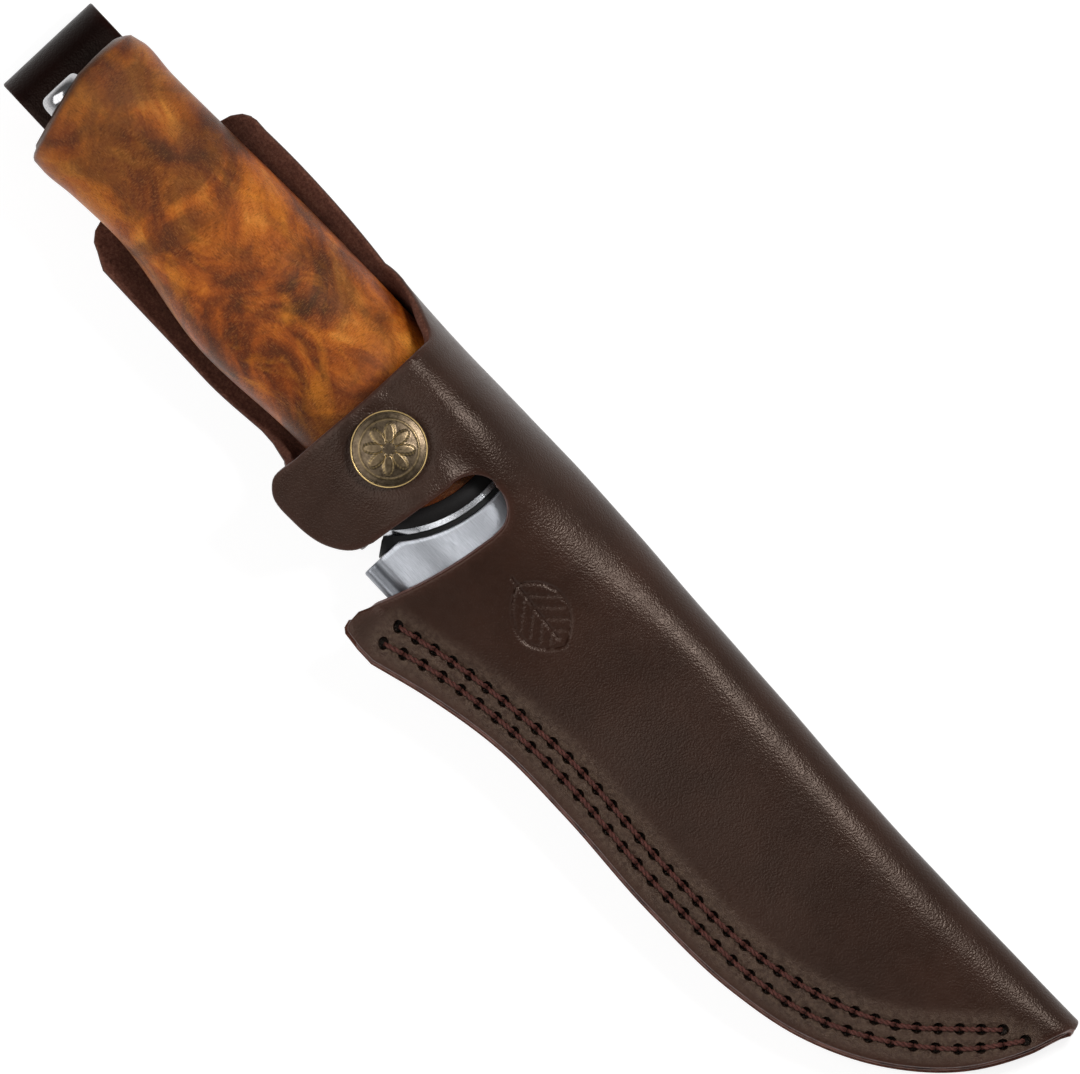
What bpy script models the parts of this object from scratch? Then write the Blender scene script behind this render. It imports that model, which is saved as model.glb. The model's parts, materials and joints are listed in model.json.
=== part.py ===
"""A whittling and hunting knife carried in its folded leather sheath, with a snap strap and a belt loop.

Everything is laid out in the knife's own frame, in millimetres: +X runs to the tip, +Y to the sheath's
fold, where the blade's spine lies, and +Z out of the front. The rest_pose empty then tilts that frame,
so that the belt loop and the sheath's tip both lie on the ground, and puts it on the origin.
"""

import math

import bmesh
import bpy
import numpy as np
from mathutils import Matrix, Vector

MM = 0.001
GAP = 0.3  # between pieces that touch
FAR = 60.0  # how far a cutter reaches past what it cuts

# Driving dimensions, in millimetres.
REST_TILT = math.radians(5.2)
LEATHER = 2.4
WELT = 3.5
SEAM_FACE = WELT / 2 + GAP + LEATHER  # outside of the leather along the stitched edge
TIP_BACK = 5.9  # how far the sheath's tip stands behind the blade's middle plane
TIP_X = 196.1

BLADE_TIP = (177.0, 9.5)
BLADE_HALF = 1.5
EDGE_HALF = 0.15
TANG_LOW, TANG_HIGH = -5.0, 3.0
TANG_END = -89.6
TANG_HOLE_HALF = BLADE_HALF + GAP
WASHER_MIDDLE = -2.7  # of the oval washer that the tang's end is riveted over, across the butt
WASHER_HALF = (5.1, 3.7)
WASHER_X = (-91.3, -87.3)
RIVET_HALF = 1.9

FACE_CENTRE = (2.4, 3.7)  # the handle's front and its spacers are turned about this point
HANDLE_FACE = 24.3
LEATHER_SPACER = (24.6, 27.8)
BRIGHT_SPACER = (28.1, 29.2)
BLACK_SPACER = (29.5, 30.1)
GUARD_BACK = 30.4
GUARD_FRONT = 41.0
QUILLON_BACK = 26.1
QUILLON_END = -25.2

NOTCH = (22.6, 30.5)  # where the back is cut away beside the guard
STRAP_TOP = 19.6  # outside of the strap over the handle
HINGE_Y = 9.15
RIGHT_RIM, LEFT_RIM = -1.0, -7.1
EAR_REACH = 22.2  # from the knife's axis to where the left ear would stand upright

SNAP = (10.9, -3.8)
CAP_RADIUS = 8.1
SNAP_HOLE = 1.9

LOOP_WIDTH = 25.1
LOOP_MIDDLE = 1.75
LOOP_TOP = -99.8
LOOP_SEWN = (50.0, 42.0, 36.0, NOTCH[1])  # where both layers follow the sheath's back, from the end up
LOOP_INNER_FACE = -15.7
LOOP_FOLD_HALF = 7.2

# Outlines, each from the fewest points that give the curve.
HANDLE_SPINE = [(-94, 12.4), (-87.2, 16.4), (-64.3, 17.0), (-29.1, 18.3), (-2, 18.5), (30, 17.8)]
HANDLE_BELLY = [(-94, -16.9), (-83, -16.8), (-60.2, -15.1), (-31, -18.4), (-4.2, -16.5), (30, -17.3)]
HANDLE_THICKNESS = [(-94, 10.4), (-72, 9.4), (-32, 12.0), (5, 10.4), (30, 9.7)]
FOLD_EDGE = [(-66, 22.6), (-45, 23.6), (0, 21.8), (41.5, 22.2), (83, 21.0), (145, 19.1), (200, 19.6)]
FRONT_RISE = [
    (-66, 19.6), (0, 19.6), (22, 19.3), (30, 17.6), (42, 13.8), (60, 10.4), (80, 8.9), (110, 7.7), (150, 6.8),
    (186, 4.8), (200, 4.6),
]
BACK_DEPTH = [
    (-66, -15.4), (-24, -15.4), (0, -14.6), (12, -13.7), (22, -13.3), (30, -13.2), (42, -12.7), (60, -10.2),
    (85, -8.0), (120, -6.9), (150, -6.5), (186, -6.0), (200, -5.9),
]
INNER_SEAM = [
    (30, -29.2), (52, -24.4), (81, -20.6), (116, -21.2), (146, -18.9), (169, -8.9), (186, 6.8), (200, 16),
]
STITCHED_EDGE = [
    (40.5, -37.1), (54, -33.2), (70.6, -30), (91.3, -29.4), (116.2, -30.2), (141.1, -28.9), (157.7, -25.1),
    (174.3, -16.5), (186.8, -4.4), (193, 7.1), (196.1, 17.2),
]
INNER_ROW = [
    (39, -27.6), (52.3, -24.4), (66.6, -22), (80.9, -20.6), (115.6, -21.2), (133.8, -20.6), (154.6, -16),
    (169.5, -8.9), (180.9, 1.9), (185.7, 6.8),
]
OUTER_ROW = [
    (39.4, -32.2), (51.3, -28.4), (64.9, -25.9), (78.9, -24.4), (118.3, -25.1), (144.4, -23.3),
    (156.7, -20.1), (176, -8.5), (184.3, -0.4), (190.5, 8.7),
]
MOUTH = [(31.1, -31.5), (33.6, -25.3), (36.1, -17.6), (38, -9.3), (39.2, -1)]
STRAP_END = [
    (22.8, -19.7), (21.4, -23.4), (16.6, -27.2), (8.3, -28.8), (1, -28), (-1, -26), (-0.9, -20), (0, 0),
]
STRAP_SECTION = [(12, 18.9), (4, 19.6), (-10, 19.3), (-16, 17.2), (-22, 14.2), (-32, 9.0)]
TAB_SECTION = [(-21.3, -4.3), (-21.5, 0), (-20.6, 6), (-17.4, 10.8), (-11, 13.2), (-4, 13.9), (6, 13.9)]
BLADE_SPINE = [(41.3, 13), (100, 13), (140, 12.4), BLADE_TIP]
BLADE_EDGE = [(41.3, -12.4), (60, -14.8), (100, -17.2), (122, -16.8), (145, -12), (164, -3.2), (177, 9.2)]

COLOURS = {
    "leather": ((0.045, 0.024, 0.018), 0.5, 0.0),
    "suede": ((0.09, 0.045, 0.033), 0.9, 0.0),
    "thread": ((0.11, 0.035, 0.025), 0.8, 0.0),
    "wood": ((0.33, 0.12, 0.03), 0.4, 0.0),
    "spacer_leather": ((0.012, 0.01, 0.009), 0.6, 0.0),
    "spacer_fibre": ((0.01, 0.01, 0.01), 0.6, 0.0),
    "spacer_metal": ((0.75, 0.74, 0.72), 0.3, 1.0),
    "guard_steel": ((0.6, 0.61, 0.63), 0.35, 1.0),
    "blade_steel": ((0.62, 0.63, 0.65), 0.22, 1.0),
    "snap_brass": ((0.25, 0.17, 0.09), 0.35, 1.0),
}


def clear_scene():
    for obj in list(bpy.data.objects):
        bpy.data.objects.remove(obj, do_unlink=True)


def new_collection(name):
    collection = bpy.data.collections.new(name)
    bpy.context.scene.collection.children.link(collection)
    return collection


def make_material(name):
    colour, roughness, metallic = COLOURS[name]
    material = bpy.data.materials.new(name)
    material.use_nodes = True
    shader = material.node_tree.nodes["Principled BSDF"]
    shader.inputs["Base Color"].default_value = (*colour, 1)
    shader.inputs["Roughness"].default_value = roughness
    shader.inputs["Metallic"].default_value = metallic
    return material


clear_scene()
PARTS = new_collection("whittling_knife")
CUTTERS = new_collection("cutters")
MATERIALS = {name: make_material(name) for name in COLOURS}


def add_empty(name, parent=None, at=(0, 0, 0)):
    empty = bpy.data.objects.new(name, None)
    PARTS.objects.link(empty)
    empty.parent = parent
    empty.location = Vector(at) * MM
    return empty


REST_POSE = add_empty("rest_pose")
HINGE_AT = (0, HINGE_Y, STRAP_TOP - 0.5)
KNIFE_AT = (GUARD_FRONT, 0, 0)
STRAP_HINGE = add_empty("strap_hinge", REST_POSE, HINGE_AT)
KNIFE_DRAW = add_empty("knife_draw", REST_POSE, KNIFE_AT)
PIVOTS = {REST_POSE: (0, 0, 0), STRAP_HINGE: HINGE_AT, KNIFE_DRAW: KNIFE_AT}


def place(obj, parent):
    """Hangs an object drawn in the knife's frame on an empty of its body."""
    obj.parent = parent
    obj.location = Vector(PIVOTS[parent]) * -MM


def add_part(name, mesh, material, parent=REST_POSE, smooth_deg=None):
    mesh.name = name
    obj = bpy.data.objects.new(name, mesh)
    PARTS.objects.link(obj)
    mesh.materials.clear()
    mesh.materials.append(MATERIALS[material])
    if smooth_deg:
        mesh.shade_smooth()
        mesh.set_sharp_from_angle(angle=math.radians(smooth_deg))
    place(obj, parent)
    return obj


def add_cutter(name, mesh, parent=REST_POSE):
    obj = bpy.data.objects.new(name, mesh)
    CUTTERS.objects.link(obj)
    obj.hide_render = True
    obj.display_type = "WIRE"
    place(obj, parent)
    return obj


def boolean(obj, cutter, operation):
    modifier = obj.modifiers.new(cutter.name, "BOOLEAN")
    modifier.object = cutter
    modifier.operation = operation


def along(stations, x):
    """The value at x on a smooth curve through (x, value) stations."""
    xs, values = np.array(stations, float).T
    slopes = np.gradient(values, xs)
    i = int(np.clip(np.searchsorted(xs, x) - 1, 0, len(xs) - 2))
    span = xs[i + 1] - xs[i]
    t = float(np.clip((x - xs[i]) / span, 0, 1))
    rise = t * t * (3 - 2 * t)
    start_pull = span * slopes[i] * t * (1 - t) ** 2
    end_pull = span * slopes[i + 1] * t * t * (1 - t)
    return float(values[i] + (values[i + 1] - values[i]) * rise + start_pull - end_pull)


def smooth_line(points, count):
    """Count points at equal distances on a smooth curve through the given ones."""
    points = np.array(points, float)
    lengths = np.concatenate([[0], np.cumsum(np.linalg.norm(np.diff(points, axis=0), axis=1))])
    fine = np.linspace(0, lengths[-1], 8 * count)
    columns = [[along(list(zip(lengths, column)), s) for s in fine] for column in points.T]
    curve = np.array(columns).T
    steps = np.concatenate([[0], np.cumsum(np.linalg.norm(np.diff(curve, axis=0), axis=1))])
    even = np.linspace(0, steps[-1], count)
    return [tuple(np.interp(s, steps, column) for column in curve.T) for s in even]


def arc(centre, radius, start_deg, end_deg, count):
    angles = np.radians(np.linspace(start_deg, end_deg, count))
    return [(centre[0] + radius * math.cos(a), centre[1] + radius * math.sin(a)) for a in angles]


def prism(outline, low, high, turn=None):
    """A closed mesh: a flat outline extruded from low to high, along Z unless a matrix turns it."""
    curve = bpy.data.curves.new("outline", "CURVE")
    curve.dimensions = "2D"
    curve.fill_mode = "BOTH"
    curve.extrude = (high - low) / 2 * MM
    spline = curve.splines.new("POLY")
    spline.points.add(len(outline) - 1)
    for point, (x, y) in zip(spline.points, outline):
        point.co = (x * MM, y * MM, 0, 1)
    spline.use_cyclic_u = True
    return welded_mesh(curve, (turn or Matrix()) @ Matrix.Translation((0, 0, (low + high) / 2 * MM)))


def welded_mesh(curve, matrix):
    """The mesh of a curve, with its loose caps joined on, moved by the matrix."""
    holder = bpy.data.objects.new("holder", curve)
    bpy.context.scene.collection.objects.link(holder)
    graph = bpy.context.evaluated_depsgraph_get()
    mesh = bpy.data.meshes.new_from_object(holder.evaluated_get(graph))
    bpy.data.objects.remove(holder, do_unlink=True)
    bpy.data.curves.remove(curve)
    work = bmesh.new()
    work.from_mesh(mesh)
    bmesh.ops.remove_doubles(work, verts=work.verts, dist=1e-6)
    bmesh.ops.transform(work, matrix=matrix, verts=work.verts)
    bmesh.ops.recalc_face_normals(work, faces=work.faces)
    work.to_mesh(mesh)
    work.free()
    return mesh


ALONG_X = Matrix(((0, 0, 1, 0), (1, 0, 0, 0), (0, 1, 0, 0), (0, 0, 0, 1)))  # an outline in Y and Z


def loft(sections, closed):
    """A mesh through sections of equal point counts; closed sections are tubes with capped ends."""
    work = bmesh.new()
    rows = [[work.verts.new(Vector(p) * MM) for p in section] for section in sections]
    count = len(rows[0])
    for row, following in zip(rows, rows[1:]):
        for i in range(count if closed else count - 1):
            j = (i + 1) % count
            work.faces.new((row[i], row[j], following[j], following[i]))
    if closed:
        work.faces.new(reversed(rows[0]))
        work.faces.new(rows[-1])
        bmesh.ops.recalc_face_normals(work, faces=work.faces)
    mesh = bpy.data.meshes.new("loft")
    work.to_mesh(mesh)
    work.free()
    return mesh


def solidify(obj, thickness, offset):
    modifier = obj.modifiers.new("thickness", "SOLIDIFY")
    modifier.thickness = thickness * MM
    modifier.offset = offset
    modifier.use_even_offset = True


def turned(name, profile, base, material, parent, steps=28):
    """A turned piece: its profile of (radius, height) runs from the top down its outer side."""
    mesh = bpy.data.meshes.new(name)
    points = [((r * MM), 0, z * MM) for r, z in profile]
    mesh.from_pydata(points, [(i, i + 1) for i in range(len(points) - 1)], [])
    obj = add_part(name, mesh, material, parent)
    obj.location = obj.location + Vector(base) * MM
    screw = obj.modifiers.new("turned", "SCREW")
    screw.steps = steps
    screw.render_steps = steps
    screw.use_merge_vertices = True
    screw.merge_threshold = 0.00001
    screw.use_smooth_shade = True
    return obj


def cylinder_mesh(centre, radius, low, high, segments=24):
    work = bmesh.new()
    middle = Vector((centre[0], centre[1], (low + high) / 2)) * MM
    bmesh.ops.create_cone(
        work, cap_ends=True, segments=segments, radius1=radius * MM, radius2=radius * MM,
        depth=(high - low) * MM, matrix=Matrix.Translation(middle),
    )
    mesh = bpy.data.meshes.new("cylinder")
    work.to_mesh(mesh)
    work.free()
    return mesh


def box_mesh(low, high):
    work = bmesh.new()
    size = Vector(high) - Vector(low)
    middle = (Vector(high) + Vector(low)) / 2
    matrix = Matrix.Translation(middle * MM) @ Matrix.Diagonal((*size * MM, 1))
    bmesh.ops.create_cube(work, size=1, matrix=matrix)
    mesh = bpy.data.meshes.new("box")
    work.to_mesh(mesh)
    work.free()
    return mesh


def tube(name, points, radius, material):
    """A thread: a round tube through the points."""
    curve = bpy.data.curves.new(name, "CURVE")
    curve.dimensions = "3D"
    curve.bevel_depth = radius * MM
    curve.bevel_resolution = 2
    curve.use_fill_caps = True
    spline = curve.splines.new("POLY")
    spline.points.add(len(points) - 1)
    for point, place_at in zip(spline.points, points):
        point.co = (*(Vector(place_at) * MM), 1)
    curve.materials.append(MATERIALS[material])
    obj = bpy.data.objects.new(name, curve)
    PARTS.objects.link(obj)
    place(obj, REST_POSE)
    return obj


# ---- The sheath


def blend(low, high, t):
    """A smooth step from low to high as t goes from 0 to 1."""
    t = min(max(t, 0.0), 1.0)
    return low + (high - low) * t * t * (3 - 2 * t)


def seam_side(x, face, height, crown, count):
    """(y, z) from the stitched edge to the crown: flat over the welt, then rising over guard or blade."""
    start = min(along(INNER_SEAM, x), crown - 5)
    flat = [(-FAR, face), (start - 3, face)]
    steps = [i / (count - 3) for i in range(count - 2)]
    gentle = blend(0, 1, (x - 44) / 40)
    rise = [gentle * blend(0, 1, t) + (1 - gentle) * math.sin(math.pi / 2 * t) for t in steps]
    return flat + [(start + (crown - start) * t, face + (height - face) * r) for t, r in zip(steps, rise)]


def ear_side(height, crown, count):
    """(y, z) from the left ear's rim down to the bottom of the tray under the handle."""
    fullness = 0.8  # below 1 fills the quarter ellipse out towards a corner
    start = math.asin((LEFT_RIM / height) ** (1 / fullness))
    angles = [start + (math.pi / 2 - start) * i / (count - 1) for i in range(count)]
    return [(crown - (EAR_REACH + crown) * math.cos(a), height * math.sin(a) ** fullness) for a in angles]


def wrap_section(x):
    """The outside of the folded leather at x, from the back's stitched edge round the fold to the front's."""
    fold, top, bottom = along(FOLD_EDGE, x), along(FRONT_RISE, x), along(BACK_DEPTH, x)
    tray = x < NOTCH[1]
    crown = blend(4.0, fold - 9.5, (x - NOTCH[1]) / 60) + blend(0, 4.5, (x - 176) / 20)
    count = 9
    back = ear_side(bottom, crown, count) if tray else seam_side(x, -SEAM_FACE, bottom, crown, count)
    front = seam_side(x, SEAM_FACE, top, crown, count)
    middle, half = (top + bottom) / 2, (top - bottom) / 2
    turns = [math.pi * (i / 14 - 0.5) for i in range(1, 14)]
    bend = [(crown + (fold - crown) * math.cos(a), middle + half * math.sin(a)) for a in turns]
    return [(x, y, z) for y, z in back + bend + front[::-1]]


def wrap_mesh():
    tray = [-66, -57, -48, -36, -24, -12, 0, 12, NOTCH[0]]
    pocket = [*LOOP_SEWN[::-1], *range(60, 180, 12), 180, 186, 190, 194, 198]
    stations = tray + pocket
    return loft([wrap_section(x) for x in stations], closed=False)


def sheath_plan():
    """The folded leather's outline from the front. Outside the fold and the ears it runs wide of them."""
    left_ear = [(-65.2, 15), (-65.2, -15.5), (-64.4, -18.3), (-62.2, -20.4), (-56, -24), (-50, -28)]
    low, high = NOTCH
    notch = [(low, -28), (low + 0.2, -17), (low + 2, -13.5), (high - 1.5, -13.5), (high, -17), (high, -34.2)]
    corner = [(31.1, -35.9), (32.4, -36.8), (36.3, -37.2)]
    tip = [(195.6, 19.0), (194.2, 22.0), (190.0, FAR)]
    right_ear = [(-56, FAR), (-58.5, 23.0), (-61.4, 22.0), (-63.0, 20.0), (-63.4, 17.0)]
    return left_ear + notch + corner + smooth_line(STITCHED_EDGE, 34) + tip + right_ear


def front_opening():
    """What is open at the front: the tray over the handle, the slot and all in front of the mouth."""
    slot = arc((33.1, 1.0), 6.1, 0, 90, 7)
    hinge_side = HINGE_Y + GAP / 2
    root = [(31.2, 7.1), (31.2, hinge_side), (0, hinge_side), (0, FAR), (-FAR * 1.5, FAR)]
    return [(-FAR * 1.5, -FAR), (30.4, -FAR)] + smooth_line(MOUTH, 9) + slot + root


def make_sheath_leather():
    leather = add_part("sheath_leather", wrap_mesh(), "leather", smooth_deg=35)
    solidify(leather, LEATHER, -1)
    plan = add_cutter("sheath_plan", prism(sheath_plan(), -FAR, FAR))
    boolean(leather, plan, "INTERSECT")
    opening = add_cutter("front_opening", prism(front_opening(), RIGHT_RIM, FAR))
    boolean(leather, opening, "DIFFERENCE")


def make_welt():
    stations = [189, 180, 170, 158, 146, 130, 110, 95, 81, 66, 52, 42, 32]
    inner = [(x, along(INNER_SEAM, x) + 0.4) for x in stations]
    corner = [(31.4, -35.9), (36.3, -36.9)]
    tip = [(193.4, 13.4), (190.6, 11.5)]
    outline = corner + smooth_line(STITCHED_EDGE, 30)[:-1] + tip + inner
    add_part("welt", prism(outline, -WELT / 2, WELT / 2), "leather")


def make_threads():
    radius = 0.42
    height = SEAM_FACE + GAP + radius
    for row_name, row in (("inner", INNER_ROW), ("outer", OUTER_ROW)):
        line = smooth_line(row, 37)
        for side_name, z in (("front", height), ("back", -height)):
            tube(f"seam_thread_{row_name}_{side_name}", [(x, y, z) for x, y in line], radius, "thread")


# ---- The belt loop


def ground(x):
    """The height of the surface that the sheath lies on, in the knife's frame."""
    return -TIP_BACK - (TIP_X - x) * math.tan(REST_TILT)


def loop_path():
    """The middle of the belt loop's leather in X and Z, from the inner layer's end to the outer one's."""
    half = LEATHER / 2
    inner_z = LOOP_INNER_FACE - half
    sewn = [(x, along(BACK_DEPTH, x) - GAP - half - 0.1) for x in (*LOOP_SEWN, NOTCH[0], 12)]
    inner = [(0, along(BACK_DEPTH, 0) - GAP - half - 0.3), (-24, inner_z), (-60, inner_z)]
    bend_x = LOOP_TOP + LOOP_FOLD_HALF + half
    outer_z = ground(bend_x) + half / math.cos(REST_TILT)
    middle_z = (inner_z + outer_z) / 2
    rise = (inner_z - outer_z) / 2
    turns = [math.radians(90 + 180 * i / 10) for i in range(11)]
    bend = [(bend_x + LOOP_FOLD_HALF * math.cos(a), middle_z + rise * math.sin(a)) for a in turns]
    outer = [(x, ground(x) + half / math.cos(REST_TILT)) for x in (-60, -24, -4)]
    step = LEATHER + GAP
    sewn_outer = [(x, z - step) for x, z in sewn[::-1]]
    return sewn + inner + bend + outer + sewn_outer


def make_belt_loop():
    low, high = LOOP_MIDDLE - LOOP_WIDTH / 2, LOOP_MIDDLE + LOOP_WIDTH / 2
    sections = [[(x, y, z) for x, z in loop_path()] for y in (low, high)]
    loop = add_part("belt_loop", loft(sections, closed=False), "leather", smooth_deg=35)
    solidify(loop, LEATHER, 0)


def make_loop_thread():
    """A box of stitches that fastens both layers of the loop to the sheath's back."""
    radius = 0.42
    low, high = LOOP_MIDDLE - LOOP_WIDTH / 2 + 3, LOOP_MIDDLE + LOOP_WIDTH / 2 - 3
    depth = 2 * LEATHER + 3 * GAP + radius
    side = [34, 37.5, 41, 44.5, 48]

    def at(x, y):
        return (x, y, along(BACK_DEPTH, x) - depth - 0.2)

    across = [low + (high - low) * i / 5 for i in range(6)]
    points = [at(x, low) for x in side] + [at(side[-1], y) for y in across[1:]]
    points += [at(x, high) for x in side[-2::-1]] + [at(side[0], y) for y in across[-2:0:-1]]
    tube("loop_thread", points, radius, "thread")


# ---- The strap, the tab and the snap


def strap_outline():
    root = [(0, HINGE_Y - GAP / 2), (30.9, HINGE_Y - GAP / 2), (30.9, 7.5)]
    slot_side = arc((31.6, 1.0), 6.5, 90, 190, 8)
    return root + slot_side + smooth_line(STRAP_END, 16)


def bent_sheet(section, low, high):
    """An open surface: a line in Y and Z, swept along X."""
    return loft([[(x, y, z) for y, z in section] for x in (low, high)], closed=False)


def make_strap():
    mesh = bent_sheet(smooth_line(STRAP_SECTION, 18), -4, 34)
    strap = add_part("retention_strap", mesh, "leather", STRAP_HINGE, smooth_deg=35)
    solidify(strap, LEATHER, -1)
    boolean(strap, add_cutter("strap_outline", prism(strap_outline(), -FAR, FAR), STRAP_HINGE), "INTERSECT")
    hole = cylinder_mesh(SNAP, SNAP_HOLE, 0, FAR, 16)
    boolean(strap, add_cutter("strap_hole", hole, STRAP_HINGE), "DIFFERENCE")


def make_closing_tab():
    mesh = bent_sheet(smooth_line(TAB_SECTION, 16), -2, 26)
    tab = add_part("closing_tab", mesh, "suede", smooth_deg=35)
    solidify(tab, LEATHER, 1)
    tongue = arc(SNAP, 8.6, 0, 180, 9)
    outline = [(0.8, -30), (22.4, -30), (22.0, -14)] + tongue + [(1.4, -14)]
    boolean(tab, add_cutter("tab_outline", prism(outline, -FAR, FAR)), "INTERSECT")
    boolean(tab, add_cutter("tab_hole", cylinder_mesh(SNAP, SNAP_HOLE, 0, FAR, 16)), "DIFFERENCE")


def make_snap():
    at = (*SNAP, 0)
    dome = [(0, 22.4), (3, 22.3), (5.4, 21.9), (6.9, 21.4), (7.4, 21.5), (CAP_RADIUS, 21.1)]
    cap = dome + [(CAP_RADIUS, 20.6), (7.6, 20.2), (1.5, 20.2), (1.5, 15.8), (0, 15.8)]
    turned("snap_cap", cap, at, "snap_brass", STRAP_HINGE)
    socket = [(1.9, 16.6), (5.4, 16.6), (5.4, 16.0), (4.6, 14.9), (2.75, 14.9), (2.75, 15.7), (1.9, 15.9)]
    turned("snap_socket", socket + socket[:1], at, "snap_brass", STRAP_HINGE, 24)
    stud = [(1.75, 15.3), (2.1, 15.0), (2.1, 14.6), (4.8, 14.5), (4.8, 14.2), (1.75, 14.2)]
    turned("snap_stud", stud + stud[:1], at, "snap_brass", REST_POSE, 24)
    post = [(0, 15.2), (1.4, 15.2), (1.4, 11.3), (4.6, 11.2), (4.6, 10.8), (0, 10.8)]
    turned("snap_post", post, at, "snap_brass", REST_POSE, 24)


# ---- The knife


def tang_cutter(name):
    low = (TANG_END - FAR, TANG_LOW - GAP, -TANG_HOLE_HALF)
    high = (GUARD_FRONT + FAR, TANG_HIGH + GAP, TANG_HOLE_HALF)
    return add_cutter(name, box_mesh(low, high), KNIFE_DRAW)


def make_blade():
    """Blade and tang in one: each section runs up one side, over the spine and down to the edge."""
    grind = 7.5

    def section(x, low, high, edge_half):
        shoulder = min(low + grind, (low + high) / 2)
        return [
            (x, low, -edge_half), (x, low, edge_half), (x, shoulder, BLADE_HALF),
            (x, high, BLADE_HALF), (x, high, -BLADE_HALF), (x, shoulder, -BLADE_HALF),
        ]

    rivet = (WASHER_MIDDLE - RIVET_HALF, WASHER_MIDDLE + RIVET_HALF)
    tang = [(TANG_END, *rivet), (-84, *rivet), (-80, TANG_LOW, TANG_HIGH), (GUARD_FRONT, TANG_LOW, TANG_HIGH)]
    sections = [section(x, low, high, BLADE_HALF) for x, low, high in tang]
    shoulder_x = GUARD_FRONT + GAP
    straight = [shoulder_x + 4, *range(60, 140, 20)]
    belly = [140, 147, 154, 160, 165, 169, 173, 176, 177]
    for x in [shoulder_x] + straight + belly:
        edge_half = BLADE_HALF if x == shoulder_x else EDGE_HALF
        sections.append(section(x, along(BLADE_EDGE, x), along(BLADE_SPINE, x), edge_half))
    add_part("blade", loft(sections, closed=True), "blade_steel", KNIFE_DRAW)


def handle_section(x, count=24):
    high, low = along(HANDLE_SPINE, x), along(HANDLE_BELLY, x)
    middle, half, thick = (high + low) / 2, (high - low) / 2, along(HANDLE_THICKNESS, x)
    turns = [2 * math.pi * i / count for i in range(count)]
    roundness = 0.94  # below 1 fills an ellipse out towards a box

    def power(value):
        return math.copysign(abs(value) ** roundness, value)

    return [(x, middle + half * power(math.cos(a)), thick * power(math.sin(a))) for a in turns]


def face_arc(radius, count=13):
    """Half the turned face's outline, from the spine side round to the belly side."""
    return arc(FACE_CENTRE, radius, 58, -58, count)


def handle_blank():
    stations = [-93, -88, -80, -72, -60, -48, -36, -24, -12, 0, 12, 24, 34]
    return loft([handle_section(x) for x in stations], closed=True)


def make_handle():
    handle = add_part("handle", handle_blank(), "wood", KNIFE_DRAW, smooth_deg=35)
    butt = [(-85.0, -FAR), (-85.0, -15.4), (-90.2, 2.5), (-90.3, FAR)]
    plan = [(FACE_CENTRE[0], FAR)] + face_arc(HANDLE_FACE) + [(FACE_CENTRE[0] + 12.9, -FAR)]
    boolean(handle, add_cutter("handle_plan", prism(plan + butt, -FAR, FAR), KNIFE_DRAW), "INTERSECT")
    boolean(handle, tang_cutter("handle_tang_hole"), "DIFFERENCE")
    pocket = prism(washer_outline(GAP), -FAR * 2, WASHER_X[1] + GAP, ALONG_X)
    boolean(handle, add_cutter("washer_pocket", pocket, KNIFE_DRAW), "DIFFERENCE")


def make_spacer(name, radii, material):
    """A plate between two turned faces, cut to the handle's own section."""
    spacer = add_part(name, handle_blank(), material, KNIFE_DRAW, smooth_deg=35)
    plan = face_arc(radii[0]) + face_arc(radii[1])[::-1]
    boolean(spacer, add_cutter(name + "_plan", prism(plan, -FAR, FAR), KNIFE_DRAW), "INTERSECT")
    boolean(spacer, tang_cutter(name + "_tang_hole"), "DIFFERENCE")


def guard_front_outline():
    """Half of the guard seen along the knife, in Y and Z, mirrored: an oval with the quillon below."""
    side = smooth_line([(17.7, 0), (15.6, 5.4), (8, 8.9), (0, 9.6), (-9, 8.3), (-15, 5.4), (-21, 3.9)], 14)
    foot = [(-24.2, 3.3), (QUILLON_END, 2.4)]
    return side + foot + [(y, -z) for y, z in (side[1:] + foot)[::-1]]


def make_guard():
    mesh = prism(guard_front_outline(), 10, 60, ALONG_X)
    guard = add_part("guard", mesh, "guard_steel", KNIFE_DRAW, smooth_deg=35)
    back = [p for p in face_arc(GUARD_BACK, 15) if p[0] > QUILLON_BACK]
    quillon = [(QUILLON_BACK, -15), (QUILLON_BACK, -FAR), (36.5, -FAR), (36.5, -22), (38.5, -17)]
    plan = [(24.0, 24)] + back + quillon + [(GUARD_FRONT, -13), (GUARD_FRONT, 24)]
    boolean(guard, add_cutter("guard_plan", prism(plan, -FAR, FAR), KNIFE_DRAW), "INTERSECT")
    boolean(guard, tang_cutter("guard_tang_hole"), "DIFFERENCE")


def washer_outline(grow):
    """The oval of the tang washer in Y and Z, grown by so much all round."""
    turns = [2 * math.pi * i / 24 for i in range(24)]
    wide, tall = WASHER_HALF
    return [(WASHER_MIDDLE + (wide + grow) * math.cos(a), (tall + grow) * math.sin(a)) for a in turns]


def make_tang_washer():
    """A dished oval washer let into the butt; the tang's end is riveted over inside it."""
    mesh = prism(washer_outline(0), *WASHER_X, ALONG_X)
    washer = add_part("tang_washer", mesh, "guard_steel", KNIFE_DRAW, smooth_deg=35)
    dish = prism(washer_outline(-0.8), -FAR * 2, WASHER_X[1] - 1, ALONG_X)
    boolean(washer, add_cutter("washer_dish", dish, KNIFE_DRAW), "DIFFERENCE")
    low = (-FAR * 2, WASHER_MIDDLE - RIVET_HALF - GAP, -TANG_HOLE_HALF)
    high = (0, WASHER_MIDDLE + RIVET_HALF + GAP, TANG_HOLE_HALF)
    boolean(washer, add_cutter("washer_hole", box_mesh(low, high), KNIFE_DRAW), "DIFFERENCE")


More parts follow.
